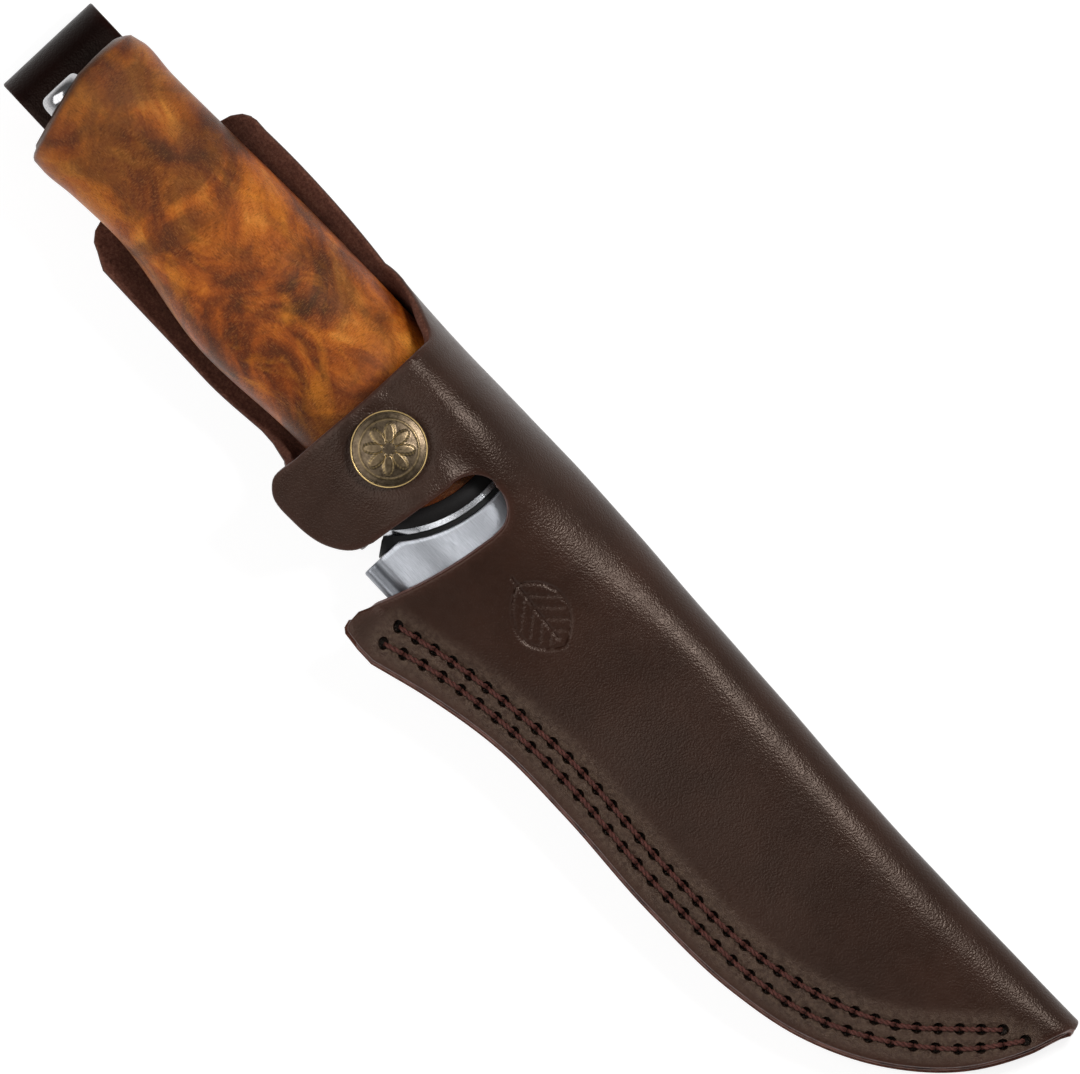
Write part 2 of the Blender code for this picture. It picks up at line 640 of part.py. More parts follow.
def stand_on_origin():
    """Tilts everything into the rest pose and puts the middle of its base on the origin."""
    REST_POSE.rotation_euler = (0, REST_TILT, 0)
    bpy.context.view_layer.update()
    graph = bpy.context.evaluated_depsgraph_get()
    points = []
    for obj in PARTS.objects:
        if obj.type != "EMPTY":
            evaluated = obj.evaluated_get(graph)
            points += [evaluated.matrix_world @ vertex.co for vertex in evaluated.to_mesh().vertices]
            evaluated.to_mesh_clear()
    low = np.min(points, axis=0)
    high = np.max(points, axis=0)
    REST_POSE.location = (-(low[0] + high[0]) / 2, -(low[1] + high[1]) / 2, -low[2])


def main():
    make_sheath_leather()
    make_welt()
    make_threads()
    make_belt_loop()
    make_loop_thread()
    make_strap()
    make_closing_tab()
    make_snap()
    make_blade()
    make_handle()
    make_spacer("spacer_leather", LEATHER_SPACER, "spacer_leather")
    make_spacer("spacer_bright", BRIGHT_SPACER, "spacer_metal")
    make_spacer("guard_spacer_black", BLACK_SPACER, "spacer_fibre")
    make_guard()
    make_tang_washer()
    stand_on_origin()


main()
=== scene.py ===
"""The looks of a whittling knife in its leather sheath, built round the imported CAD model.

Shapes are laid out in the knife's own frame, in millimetres: +X to the tip, +Y to the sheath's fold and
+Z out of the front. world() puts them into the model's frame. Leather is cut to a flat outline, bent by a
surface function and given its thickness, a rounded edge and its relief.
"""

import json
import math

import bpy
import numpy as np
from mathutils import Matrix, Vector
from mathutils.geometry import delaunay_2d_cdt

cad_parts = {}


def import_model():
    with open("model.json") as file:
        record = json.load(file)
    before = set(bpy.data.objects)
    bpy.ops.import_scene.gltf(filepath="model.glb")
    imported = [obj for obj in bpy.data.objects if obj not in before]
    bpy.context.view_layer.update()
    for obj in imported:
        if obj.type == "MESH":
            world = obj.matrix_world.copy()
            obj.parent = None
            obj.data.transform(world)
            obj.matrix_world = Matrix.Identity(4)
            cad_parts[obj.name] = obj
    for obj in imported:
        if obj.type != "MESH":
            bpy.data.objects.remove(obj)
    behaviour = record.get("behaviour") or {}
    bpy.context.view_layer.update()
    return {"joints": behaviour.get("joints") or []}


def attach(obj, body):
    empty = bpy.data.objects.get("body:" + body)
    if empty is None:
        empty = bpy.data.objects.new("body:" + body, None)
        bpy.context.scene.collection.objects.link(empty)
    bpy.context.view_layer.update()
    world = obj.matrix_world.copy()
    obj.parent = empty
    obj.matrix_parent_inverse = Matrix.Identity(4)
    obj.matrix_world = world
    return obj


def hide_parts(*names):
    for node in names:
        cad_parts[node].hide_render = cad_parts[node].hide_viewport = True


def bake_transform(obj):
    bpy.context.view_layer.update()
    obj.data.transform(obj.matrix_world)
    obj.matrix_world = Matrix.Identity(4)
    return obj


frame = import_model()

MM = 0.001
FAR = 60.0  # further than any distance that matters
LEATHER = 2.4  # thickness
WELT = 3.5
SEAM_FACE = 4.45  # outside of the leather along the stitched edge
NOTCH = (22.6, 30.5)  # where the open tray ends and the sewn part begins
HINGE_IN_KNIFE = (0, 9.15, 19.1)
EAR_REACH = 22.2  # of the left ear from the knife's axis
RIGHT_RIM, LEFT_RIM = -2.4, -6.6  # heights of the ears' rims
SNAP = (10.9, -3.8)  # its axis, in x and y
CAP_RADIUS = 8.1
FACE_CENTRE = (2.4, 3.7)  # of the arcs that the spacers' faces follow
GUARD_BACK, GUARD_FRONT = 30.4, 41.0
QUILLON_BACK = 26.1
WASHER_MIDDLE = -2.7
WASHER_HALF = (5.1, 3.7)
LOOP_LOW, LOOP_HIGH = -10.8, 14.3  # the belt loop's sides, in y
LOOP_TOP, LOOP_FOLD_HALF, LOOP_INNER_FACE = -99.8, 7.2, -15.7
TIP_X, TIP_BACK = 196.1, 5.9  # the back of the tip touches the ground
REST_SLOPE = math.tan(math.radians(5.2))

# Stations (x, y), (x, z) and, for sections across the knife, (y, z).
HANDLE_SPINE = [
    (-94, 12.2), (-90.3, 13.9), (-88.4, 15.9), (-86.4, 16.5), (-76.8, 16.5), (-64.3, 17.0), (-29.1, 18.3),
    (-2, 18.5), (30, 17.8),
]
HANDLE_BELLY = [
    (-94, -13.5), (-85.6, -15.2), (-84.2, -16.4), (-81.5, -16.8), (-72.6, -15.9), (-60.2, -15.1),
    (-31, -18.4), (-4.2, -16.5), (30, -17.3),
]
HANDLE_THICKNESS = [(-94, 10.4), (-72, 9.4), (-32, 12.0), (5, 10.4), (30, 9.7)]
FOLD_EDGE = [(-66, 22.6), (-45, 23.6), (0, 21.8), (41.5, 22.2), (83, 21.0), (145, 19.1), (200, 19.6)]
FRONT_RISE = [
    (-66, 19.6), (0, 19.6), (22, 19.3), (30, 17.6), (42, 13.8), (60, 10.4), (80, 8.9), (110, 7.7), (150, 6.8),
    (186, 4.8), (200, 4.6),
]
BACK_DEPTH = [
    (-66, -15.4), (-24, -15.4), (0, -14.6), (12, -13.7), (22, -13.3), (30, -13.2), (42, -12.7), (60, -10.2),
    (85, -8.0), (120, -6.9), (150, -6.5), (186, -6.0), (200, -5.9),
]
INNER_SEAM = [
    (30, -29.2), (52, -24.4), (81, -20.6), (116, -21.2), (146, -18.9), (169, -8.9), (186, 6.8), (200, 16),
]
STITCHED_EDGE = [
    (40.5, -37.1), (54, -33.2), (70.6, -30), (91.3, -29.4), (116.2, -30.2), (141.1, -28.9), (157.7, -25.1),
    (174.3, -16.5), (186.8, -4.4), (193, 7.1), (196.1, 17.2),
]
INNER_ROW = [
    (39, -27.6), (52.3, -24.4), (66.6, -22), (80.9, -20.6), (115.6, -21.2), (133.8, -20.6), (154.6, -16),
    (169.5, -8.9), (180.9, 1.9), (185.7, 6.8),
]
OUTER_ROW = [
    (39.4, -32.2), (51.3, -28.4), (64.9, -25.9), (78.9, -24.4), (118.3, -25.1), (144.4, -23.3),
    (156.7, -20.1), (176, -8.5), (184.3, -0.4), (190.5, 8.7),
]
MOUTH = [(31.1, -31.5), (33.6, -25.3), (36.1, -17.6), (38, -9.3), (39.2, -1)]
STRAP_END = [
    (22.8, -19.7), (21.4, -23.4), (16.6, -27.2), (8.3, -28.8), (1, -28), (-1, -26), (-0.9, -20), (0, 0),
]
STRAP_SECTION = [(-32, 9.0), (-22, 14.2), (-16, 17.2), (-10, 19.2), (0, 19.6), (12, 19.6)]
TAB_SECTION = [(6, 16.2), (-4, 16.2), (-11.6, 15.4), (-18.6, 12.2), (-21.8, 7.0), (-22.4, 2.5), (-22.3, 0)]
BLADE_SPINE = [(41.3, 13), (100, 13), (140, 12.4), (177.0, 9.5)]
BLADE_EDGE = [(41.3, -12.4), (60, -14.8), (100, -17.2), (122, -16.8), (145, -12), (164, -3.2), (177, 9.2)]
JOIN_START, JOIN_END = (0.0, 13.0), (31.9, 7.25)  # where the strap's piece meets the sheath's


def knife_frame():
    """(origin, turn) of the knife's frame in the model's, from its joints."""
    joints = {joint["name"]: joint for joint in frame["joints"]}
    along_x = -Vector(joints["knife_draw"]["axis"])
    along_y = Vector((0, 1, 0))
    turn = np.array((along_x, along_y, along_x.cross(along_y))).T
    hinge = np.array(joints["strap_hinge"]["pos_m"])
    return hinge - turn @ (np.array(HINGE_IN_KNIFE) * MM), turn


K_ORIGIN, K_TURN = knife_frame()


def world(points):
    """Places in metres in the model's frame, of places in millimetres in the knife's."""
    return np.asarray(points, float) * MM @ K_TURN.T + K_ORIGIN


# ---- Curves


def along(stations, x):
    """The value at x on a smooth curve through (x, value) stations."""
    xs, values = np.array(stations, float).T
    slopes = np.gradient(values, xs)
    i = np.clip(np.searchsorted(xs, x) - 1, 0, len(xs) - 2)
    span = xs[i + 1] - xs[i]
    t = np.clip((x - xs[i]) / span, 0, 1)
    rise = t * t * (3 - 2 * t)
    start_pull = span * slopes[i] * t * (1 - t) ** 2
    end_pull = span * slopes[i + 1] * t * t * (1 - t)
    return values[i] + (values[i + 1] - values[i]) * rise + start_pull - end_pull


def unit(vectors):
    """The vectors, one a row, at length 1."""
    return vectors / np.linalg.norm(vectors, axis=1)[:, None]


def distances_along(line):
    """How far along a line each of its points is."""
    return np.concatenate([[0], np.cumsum(np.linalg.norm(np.diff(line, axis=0), axis=1))])


def point_at(distances, line, wanted):
    """The places on a line at the wanted distances along it."""
    return np.stack([np.interp(wanted, distances, column) for column in line.T], axis=1)


def smooth_line(points, count):
    """Count points at equal distances on a smooth curve through the given ones."""
    points = np.array(points, float)
    lengths = distances_along(points)
    fine = np.linspace(0, lengths[-1], 12 * count)
    curve = np.stack([along(list(zip(lengths, column)), fine) for column in points.T], axis=1)
    steps = distances_along(curve)
    return point_at(steps, curve, np.linspace(0, steps[-1], count))


def arc(centre, radius, start_deg, end_deg, count):
    """Count points on a circle, from one angle to another."""
    angles = np.radians(np.linspace(start_deg, end_deg, count))
    return np.stack([centre[0] + radius * np.cos(angles), centre[1] + radius * np.sin(angles)], axis=1)


def full_turn(count):
    """Count even angles round a circle."""
    return np.arange(count) * 2 * np.pi / count


def step(t):
    """A smooth step from 0 to 1 as t goes from 0 to 1."""
    t = np.clip(t, 0, 1)
    return t * t * (3 - 2 * t)


def peak(t, width):
    """A smooth hump of height 1 where t is 0."""
    return np.exp(-((t / width) ** 2))


def inset(line, distance):
    """The line moved to its left by a distance, as seen along it."""
    direction = unit(np.gradient(line, axis=0))
    return line + np.stack([-direction[:, 1], direction[:, 0]], axis=1) * distance


def densify(loop, longest):
    """A closed loop with no edge longer than longest."""
    points = []
    for a, b in zip(loop, np.roll(loop, -1, axis=0)):
        count = max(1, math.ceil(np.linalg.norm(b - a) / longest))
        points += [a + (b - a) * i / count for i in range(count)]
    return np.array(points)


def segment_gaps(points, start, end):
    """The distance from each point to each segment."""
    p, edge = points[:, None], end - start
    t = np.clip(((p - start) * edge).sum(axis=-1) / (edge**2).sum(axis=-1), 0, 1)
    return np.linalg.norm(p - start - t[..., None] * edge, axis=-1)


def blocks(points):
    """Points in groups small enough to measure against a whole outline at once."""
    return np.array_split(points, max(1, len(points) // 1500))


def measure(points, loop, counted=None):
    """(inside the loop?, distance to those of its edges that count) for each point."""
    start, end = loop, np.roll(loop, -1, axis=0)
    edge = end - start
    inside, nearest = [], []
    rise = np.where(edge[:, 1] == 0, 1, edge[:, 1])
    for block in blocks(points):
        p = block[:, None]
        crosses = (start[:, 1] > p[..., 1]) != (end[:, 1] > p[..., 1])
        x = start[:, 0] + (p[..., 1] - start[:, 1]) * edge[:, 0] / rise
        inside.append((crosses & (p[..., 0] < x)).sum(axis=1) % 2 == 1)
        gap = segment_gaps(block, start, end)
        if counted is not None:
            gap = np.where(counted, gap, FAR)
        nearest.append(gap.min(axis=1))
    return np.concatenate(inside), np.concatenate(nearest)


def line_distance(points, line):
    """Distance from each point to an open line."""
    return np.concatenate([segment_gaps(block, line[:-1], line[1:]).min(axis=1) for block in blocks(points)])


def point_distance(points, others):
    """Distance from each point to the nearest of the others."""
    return np.concatenate([np.linalg.norm(b[:, None] - others, axis=-1).min(axis=1) for b in blocks(points)])


def look_up(table, u, v):
    """Values of a table at places between its rows and columns."""
    u = np.clip(u, 0, table.shape[0] - 1.001)
    v = np.clip(v, 0, table.shape[1] - 1.001)
    i, j = u.astype(int), v.astype(int)
    a, b = u - i, v - j
    if table.ndim == 3:
        a, b = a[:, None], b[:, None]
    low = table[i, j] * (1 - b) + table[i, j + 1] * b
    high = table[i + 1, j] * (1 - b) + table[i + 1, j + 1] * b
    return low * (1 - a) + high * a


# ---- Pieces


def link_object(name, data):
    """A new object in the scene."""
    obj = bpy.data.objects.new(name, data)
    bpy.context.scene.collection.objects.link(obj)
    return obj


def add_piece(name, points, faces, materials, body, replaces=(), picks=None, masks=None, sharp=50):
    """A mesh in the knife's frame. Its rest place, in millimetres, is kept for the materials."""
    mesh = bpy.data.meshes.new(name)
    mesh.from_pydata(world(points).tolist(), [], [[int(i) for i in face] for face in faces])
    for material in materials:
        mesh.materials.append(material)
    if picks is not None:
        mesh.polygons.foreach_set("material_index", np.asarray(picks, np.int32))
    place = mesh.attributes.new("rest", "FLOAT_VECTOR", "POINT")
    place.data.foreach_set("vector", np.asarray(points, np.float32).ravel())
    for mask, values in (masks or {}).items():
        attribute = mesh.attributes.new(mask, "FLOAT", "POINT")
        attribute.data.foreach_set("value", np.asarray(values, np.float32))
    mesh.shade_smooth()
    mesh.set_sharp_from_angle(angle=math.radians(sharp))
    obj = link_object(name, mesh)
    if replaces:
        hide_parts(*replaces)
    if body:
        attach(obj, body)
    return obj


def loft(rings):
    """(points, faces) of a closed body through rings of equal counts, with a point at each end."""
    count = len(rings[0])
    ends = [np.mean(rings[0], axis=0), np.mean(rings[-1], axis=0)]
    points = np.concatenate([*rings, ends])
    first, last = len(points) - 2, len(points) - 1
    faces = []
    for row in range(len(rings) - 1):
        for i in range(count):
            j = (i + 1) % count
            a, b = row * count, (row + 1) * count
            faces.append((a + i, a + j, b + j, b + i))
    top = (len(rings) - 1) * count
    for i in range(count):
        j = (i + 1) % count
        faces.append((first, j, i))
        faces.append((last, top + i, top + j))
    return points, faces


def facing_out(points, faces):
    """The faces, turned round if the body they close is inside out."""
    tris = [(f[0], f[i], f[i + 1]) for f in faces for i in range(1, len(f) - 1)]
    corners = points[np.array(tris)]
    volume = np.einsum("ij,ij->i", corners[:, 0], np.cross(corners[:, 1], corners[:, 2])).sum()
    return faces if volume > 0 else [f[::-1] for f in faces]


def add_body(name, rings, material, body, replaces, masks=None, sharp=50):
    """A closed piece through rings. Its masks have a value for each ring's points, then for the two ends."""
    points, faces = loft(rings)
    faces = facing_out(points, faces)
    add_piece(name, points, faces, [material], body, replaces, masks=masks, sharp=sharp)


def panel(
    outline, spacing, surface, thickness=LEATHER, rounding=0.5, joined=None, fine=(), clear=None,
    relief=None, thinned=None,
):
    """A sheet cut to a flat outline and bent: (points, faces, which skin each face is, masks).

    surface gives places and normals of flat points, fine adds points where clear says the even ones stay
    away, relief gives (lift, masks), joined says which edges go on in another piece, and thinned how much
    the sheet is skived from inside, from the flat points and their distance to the edge.
    """
    rim = densify(outline, spacing * 0.7)
    forward = unit(np.roll(rim, -1, axis=0) - np.roll(rim, 1, axis=0))
    inward = np.stack([-forward[:, 1], forward[:, 0]], axis=1)
    probe_inside, _ = measure(rim + inward * 0.05, rim)
    if probe_inside.mean() < 0.5:
        inward = -inward
    rings = [rounding * (1 - math.cos(math.radians(a))) for a in (30, 60, 90)]
    low, high = rim.min(axis=0), rim.max(axis=0)
    xs = np.arange(low[0], high[0], spacing)
    ys = np.arange(low[1], high[1], spacing * 0.866)
    grid = np.array([(x + (j % 2) * spacing / 2, y) for j, y in enumerate(ys) for x in xs])
    inside, gap = measure(grid, rim)
    grid = grid[inside & (gap > rings[-1] + spacing * 0.45)]
    if clear is not None:
        grid = grid[clear(grid)]
    parts = [rim, grid, *fine]
    for ring in rings:
        candidates = rim + inward * ring
        inside, gap = measure(candidates, rim)
        parts.append(candidates[inside & (gap > ring * 0.93)])
    flat = np.concatenate(parts)
    edges = [(i, (i + 1) % len(rim)) for i in range(len(rim))]
    verts, _, tris, *_ = delaunay_2d_cdt([Vector(p) for p in flat], edges, [], 0, 1e-5, False)
    flat = np.array(verts, float)
    within, _ = measure(flat[np.array(tris)].mean(axis=1), rim)
    tris = [tri for tri, kept in zip(tris, within) if kept]
    return skins(flat, tris, rim, surface, thickness, rounding, joined, relief, thinned)


def skins(flat, tris, rim, surface, thickness, rounding, joined, relief, thinned):
    """Both skins of a bent sheet and the cut edge between them."""
    middles = (rim + np.roll(rim, -1, axis=0)) / 2
    counted = None if joined is None else ~joined(middles)
    _, gap = measure(flat, rim, counted)
    drop = rounding - np.sqrt(np.maximum(rounding**2 - np.maximum(rounding - gap, 0) ** 2, 0))
    place, normal = surface(flat)
    lift, masks = relief(flat) if relief else (np.zeros(len(flat)), {})
    top = place + normal * (lift - drop)[:, None]
    skived = thinned(flat, gap) if thinned else 0
    bottom = place - normal * (thickness - drop - skived)[:, None]
    count = len(flat)
    borders = {}
    for a, b, c in tris:
        for edge in ((a, b), (b, c), (c, a)):
            borders[edge] = True
    open_edges = [(a, b) for a, b in borders if (b, a) not in borders]
    front = [(c, b, a) for a, b, c in tris]
    back = [(a + count, b + count, c + count) for a, b, c in tris]
    band = [(a, b, b + count, a + count) for a, b in open_edges]
    picks = [0] * len(front) + [1] * len(back) + [2] * len(band)
    burnish = np.exp(-gap / 0.45)
    all_masks = {"edge": np.concatenate([burnish, burnish * 0.6])}
    for key, values in masks.items():
        all_masks[key] = np.concatenate([values, np.zeros(count)])
    return np.concatenate([top, bottom]), front + back + band, picks, all_masks


# ---- The folded leather's surface


SIDE_POINTS = 60  # of a section's front and of its back
TAB_POINTS = 24
BEND_POINTS = 59


def seam_side(x, face, height, crown):
    """(y, z) from the stitched edge to the crown: flat over the welt, then rising over guard or blade."""
    start = min(along(INNER_SEAM, x), crown - 5)
    flat = [(-FAR, face), (start - 3, face)]
    t = np.linspace(0, 1, SIDE_POINTS - 2)
    gentle = step((x - 44) / 40)
    rise = gentle * step(t) + (1 - gentle) * np.sin(np.pi / 2 * t)
    risen = np.stack([start + (crown - start) * t, face + (height - face) * rise], axis=1)
    return np.concatenate([flat, risen])


def ear_side(x, height, crown):
    """(y, z) from the end of the closing tab, down the left ear, to the bottom of the tray."""
    fullness = 0.8
    reach = EAR_REACH + 1.7 * step((-2 - x) / 24)
    angles = np.linspace(0.02, np.pi / 2, SIDE_POINTS - TAB_POINTS)
    y = crown - (reach + crown) * np.cos(angles)
    z = height * np.sin(angles) ** fullness
    return np.concatenate([smooth_line(TAB_SECTION, TAB_POINTS), np.stack([y, z], axis=1)])


def raw_section(x, tray):
    """(y, z) round the leather's outside at x, as the open tray or as the sewn sheath."""
    fold, top, bottom = along(FOLD_EDGE, x), along(FRONT_RISE, x), along(BACK_DEPTH, x)
    crown = 4.0 + (fold - 13.5) * step((x - NOTCH[1]) / 60) + 4.5 * step((x - 176) / 20)
    shoulder = crown + 6.5 * (1 - step((x - 18) / 28))  # the front stays flat further under the strap
    back = ear_side(x, bottom, crown) if tray else seam_side(x, -SEAM_FACE, bottom, crown)
    front = seam_side(x, SEAM_FACE, top, shoulder)
    middle, half = (top + bottom) / 2, (top - bottom) / 2
    turns = np.pi * (np.arange(1, BEND_POINTS + 1) / (BEND_POINTS + 1) - 0.5)
    flare = step((-9 - x) / 15)  # the ears lean out
    start = np.where(turns < 0, crown, shoulder)
    reach = (fold - start) * np.where(turns < 0, 1 + 0.05 * flare, 1)
    power = np.where(turns < 0, 1 + 0.9 * flare, 1)
    bend = np.stack([start + reach * np.cos(turns) ** power, middle + half * np.sin(turns)], axis=1)
    return np.concatenate([back, bend, front[::-1]])


def wrap_section(x):
    """The outside of the folded leather at x, from the back's edge round the fold to the front's."""
    if x <= NOTCH[0]:
        return raw_section(x, True)
    if x >= NOTCH[1]:
        return raw_section(x, False)
    share = step((x - NOTCH[0]) / (NOTCH[1] - NOTCH[0]))
    return raw_section(x, True) * (1 - share) + raw_section(x, False) * share


WRAP_PITCH = (0.5, 0.4)  # of the table, in x and s
WRAP_X = np.arange(-66, 198.1, WRAP_PITCH[0])
WRAP_S = np.arange(-100, 90.1, WRAP_PITCH[1])


def wrap_table():
    """(y, z) of the folded leather over x and s, the distance round it from the fold's outermost line."""
    table = []
    for x in WRAP_X:
        line = wrap_section(float(x))
        lengths = distances_along(line)
        table.append(point_at(lengths - lengths[SIDE_POINTS + BEND_POINTS // 2], line, WRAP_S))
    return np.array(table)


WRAP = wrap_table()


def on_wrap(x, s):
    """(y, z) at flat places."""
    return look_up(WRAP, (x - WRAP_X[0]) / WRAP_PITCH[0], (s - WRAP_S[0]) / WRAP_PITCH[1])


def wrap_row(x):
    """(y, z) all the way round the leather at x, one for each of WRAP_S."""
    return on_wrap(np.full(len(WRAP_S), float(x)), WRAP_S)


def wrap_surface(flat):
    """Places and normals on the folded leather's outside, from x and s."""
    x, s = flat[:, 0], flat[:, 1]
    reach = 0.8
    place = np.column_stack([x, on_wrap(x, s)])
    across = np.column_stack([np.zeros(len(x)), on_wrap(x, s + reach) - on_wrap(x, s - reach)])
    onward = np.column_stack([np.full(len(x), 2 * reach), on_wrap(x + reach, s) - on_wrap(x - reach, s)])
    return place, unit(np.cross(across, onward))


FOLD_AT = int(np.argmin(abs(WRAP_S)))


def flat_s(x, y, front):
    """How far round the leather a place seen from the front, or the back, lies."""
    row = wrap_row(x)[:, 0]
    if front:
        return float(np.interp(-y, -row[FOLD_AT:], WRAP_S[FOLD_AT:]))
    lowest = int(np.argmin(row[: FOLD_AT + 1]))
    return float(np.interp(y, row[lowest : FOLD_AT + 1], WRAP_S[lowest : FOLD_AT + 1]))


def to_flat(line, front):
    """The flat places, in x and s, of places seen from the front or the back."""
    return np.array([(x, flat_s(x, y, front)) for x, y in line])


def left_height(x, z):
    """How far round the left ear a height lies."""
    row = wrap_row(x)
    wall = (WRAP_S < 0) & (row[:, 0] < 0) & (np.arange(len(WRAP_S)) < FOLD_AT)
    return float(np.interp(z, row[wall, 1][::-1], WRAP_S[wall][::-1]))


def right_height(x, z):
    """How far round the fold a height on the right ear lies."""
    near = abs(WRAP_S) < 15
    return float(np.interp(z, wrap_row(x)[near, 1], WRAP_S[near]))


# ---- Leather relief


HOLES = 36  # in each row
SEAMS = [to_flat(smooth_line(row, HOLES), front) for row in (INNER_ROW, OUTER_ROW) for front in (True, False)]
LEAF_FLAT = to_flat([(57.6, -4.6)], True)[0]
LEAF_HALF_LENGTH, LEAF_HALF_WIDTH = 7.9, 6.2


def seam_points():
    """Extra flat points that give each stitch hole and the groove between holes their shape."""
    found = []
    for seam in SEAMS:
        for hole in seam:
            found += [arc(hole, radius, 0, 324, 10) for radius in (0.55, 0.95, 1.3)]
        found.append(seam)
        for a, b in zip(seam, seam[1:]):
            direction = (b - a) / np.linalg.norm(b - a)
            side = np.array([-direction[1], direction[0]])
            for share in (0.34, 0.5, 0.66):
                middle = a + (b - a) * share
                found.append([middle + side * offset for offset in (-1.5, -0.8, -0.3, 0.3, 0.8, 1.5)])
    return np.concatenate(found)


def leaf_points():
    """Extra flat points that give the leaf its shape."""
    us = np.arange(-10.8, 9.3, 0.4)
    vs = np.arange(-7.2, 7.3, 0.4)
    return np.array([LEAF_FLAT + (u + (j % 2) * 0.21, v) for j, v in enumerate(vs) for u in us])


def leaf_relief(flat):
    """A plain leaf pressed into the leather: its outline, a midrib and slanting veins."""
    u, v = flat[:, 0] - LEAF_FLAT[0], flat[:, 1] - LEAF_FLAT[1]
    inside_length = np.clip(1 - (u / LEAF_HALF_LENGTH) ** 2, 0, 1)
    half = LEAF_HALF_WIDTH * inside_length**0.8
    outline = peak(abs(v) - half, 0.42) * (abs(u) < LEAF_HALF_LENGTH + 0.4)
    rib = peak(v, 0.32) * (u > -10.2) * (u < 6.2)
    veins = [peak(u - start - 0.9 * abs(v), 0.3) * (abs(v) < half - 0.7) for start in (-5.6, -2.6, 0.4, 3.4)]
    sunk = step((half - abs(v)) / 0.8) * (abs(u) < LEAF_HALF_LENGTH)
    return -0.5 * np.maximum.reduce([outline, 0.8 * rib, 0.6 * np.max(veins, axis=0)]) - 0.16 * sunk


def uneven(flat):
    """The slow swells of wet-formed leather."""
    x, s = flat[:, 0], flat[:, 1]
    crossed = np.sin(x * 0.21 + s * 0.13 + 1.0) * np.sin(s * 0.23 - x * 0.07)
    slanting = 0.6 * np.sin(x * 0.11 - s * 0.31 + 2.0)
    return 0.05 * (crossed + slanting)


def sheath_relief(flat):
    """The lift, a groove and holes along the seams, and masks of what is dark and of what is rubbed and given
    a painted sheen.
    """
    lift = uneven(flat)
    dark = np.zeros(len(flat))
    wear_and_sheen = np.zeros(len(flat))
    for seam in SEAMS:
        gap = line_distance(flat, seam)
        hole = step((1.36 - point_distance(flat, seam)) / 0.45)
        lift = lift - 0.42 * peak(gap, 0.95)
        lift = lift * (1 - hole) - 1.9 * hole
        dark = np.maximum(dark, hole)
        # paler bands along the stitch rows: rubbed wear together with a painted sheen on the flat stitched
        # margin
        wear_and_sheen = np.maximum(wear_and_sheen, np.exp(-((gap / 3.4) ** 4)))
    front = flat[:, 1] > 0
    lift = lift + np.where(front, leaf_relief(flat), 0)
    return lift, {"dark": dark, "wear_and_sheen": wear_and_sheen}


# ---- Outlines


def corner_and_edge():
    """The plan of the stitched side, from the mouth's lower corner to the tip."""
    corner = np.array([(30.5, -34.2), (31.1, -35.9), (32.2, -36.7), (36.3, -37.1)])
    return np.concatenate([corner, smooth_line(STITCHED_EDGE, 90)])


EAR_FILLET = [(0, 13.9), (-0.5, 12.6), (-1.8, 11.0), (-4.0, 9.2), (-6.6, 6.4), (-9.2, 3.0), (-12.4, 0.0)]
TRAY_END = [
    (-58.8, -4.4), (-61.0, -6.6), (-62.4, -9.6), (-63.1, -13.0), (-64.2, -17.5), (-65.0, -21.0),
    (-65.2, -28.0), (-65.2, -44.0), (-65.0, -47.5), (-64.2, -50.5), (-62.6, -52.8), (-60.6, -54.0),
]  # both are flat places, in x and s


def sheath_outline():
    """The folded leather laid flat, in x and s, from the mouth's corner round the front, fold and back."""
    front_edge = inset(corner_and_edge(), 0.85)
    slot = arc((33.1, 1.0), 6.1, 0, 98, 14)
    mouth = np.concatenate([smooth_line(MOUTH, 30), slot])
    join = np.linspace(JOIN_END, JOIN_START, 14)
    rim = [(x, right_height(x, RIGHT_RIM)) for x in np.linspace(-18, -55, 20)]
    left = [(x, left_height(x, LEFT_RIM)) for x in np.linspace(-57, -10, 24)]
    notch = to_flat([(22.8, -17), (23.2, -15), (24.6, -13.5), (35.6, -13.5), (37.0, -15)], False)
    under_mouth = to_flat([(37.3, -17.6), (36.1, -21.4), (35.0, -25.3), (33.0, -31.5)], False)
    back_edge = to_flat(corner_and_edge() + (0.35, 0), False)
    tip_x = 196.0
    tip = [(tip_x, flat_s(tip_x, 18.2, False)), (195.4, 0.0), (tip_x, flat_s(tip_x, 18.2, True))]
    loop = np.concatenate([
        to_flat(mouth, True), to_flat(join, True), EAR_FILLET, rim, TRAY_END, left, tab_outline(),
        notch, under_mouth, back_edge, tip, to_flat(front_edge[::-1], True),
    ])
    keep = np.linalg.norm(np.diff(loop, axis=0, append=loop[:1]), axis=1) > 0.05
    return loop[keep]


def tab_outline():
    """The closing tab's plan laid flat: up from the left ear's rim, round the snap and down again."""
    middle = left_height(SNAP[0], 0) - 16.0
    top = tab_s(SNAP[1])
    near = [
        (-6.5, left_height(-6.5, LEFT_RIM + 0.6)), (-2.5, left_height(0, -4.0)),
        (0.2, left_height(0, 0) - 3.0), (1.2, middle), (1.6, top + 4),
    ]
    tongue = arc((SNAP[0], top), 9.0, 180, 360, 13)
    side_out = [(22.2, top + 4), (22.3, middle), (22.4, left_height(22, -6.0))]
    return np.concatenate([near, tongue, side_out])


def tab_s(y):
    """How far round the closing tab, at the snap, a place seen from the front lies."""
    row = wrap_row(SNAP[0])
    upper = (WRAP_S < left_height(SNAP[0], 0)) & (row[:, 1] > 3)
    return float(np.interp(-y, -row[upper, 0], WRAP_S[upper]))


def strap_outline():
    """The strap's plan: its root, round the slot, and round its free end."""
    root = np.linspace(JOIN_START, JOIN_END, 24)
    slot_side = arc((31.6, 1.0), 6.5, 80, 190, 22)
    return np.concatenate([root, slot_side, smooth_line(STRAP_END, 60), [(0, 6)]])


def on_join(middles):
    """Which edges of the strap's plan lie on the line where it goes on in the sheath."""
    return line_distance(middles, np.array([JOIN_START, JOIN_END])) < 0.02


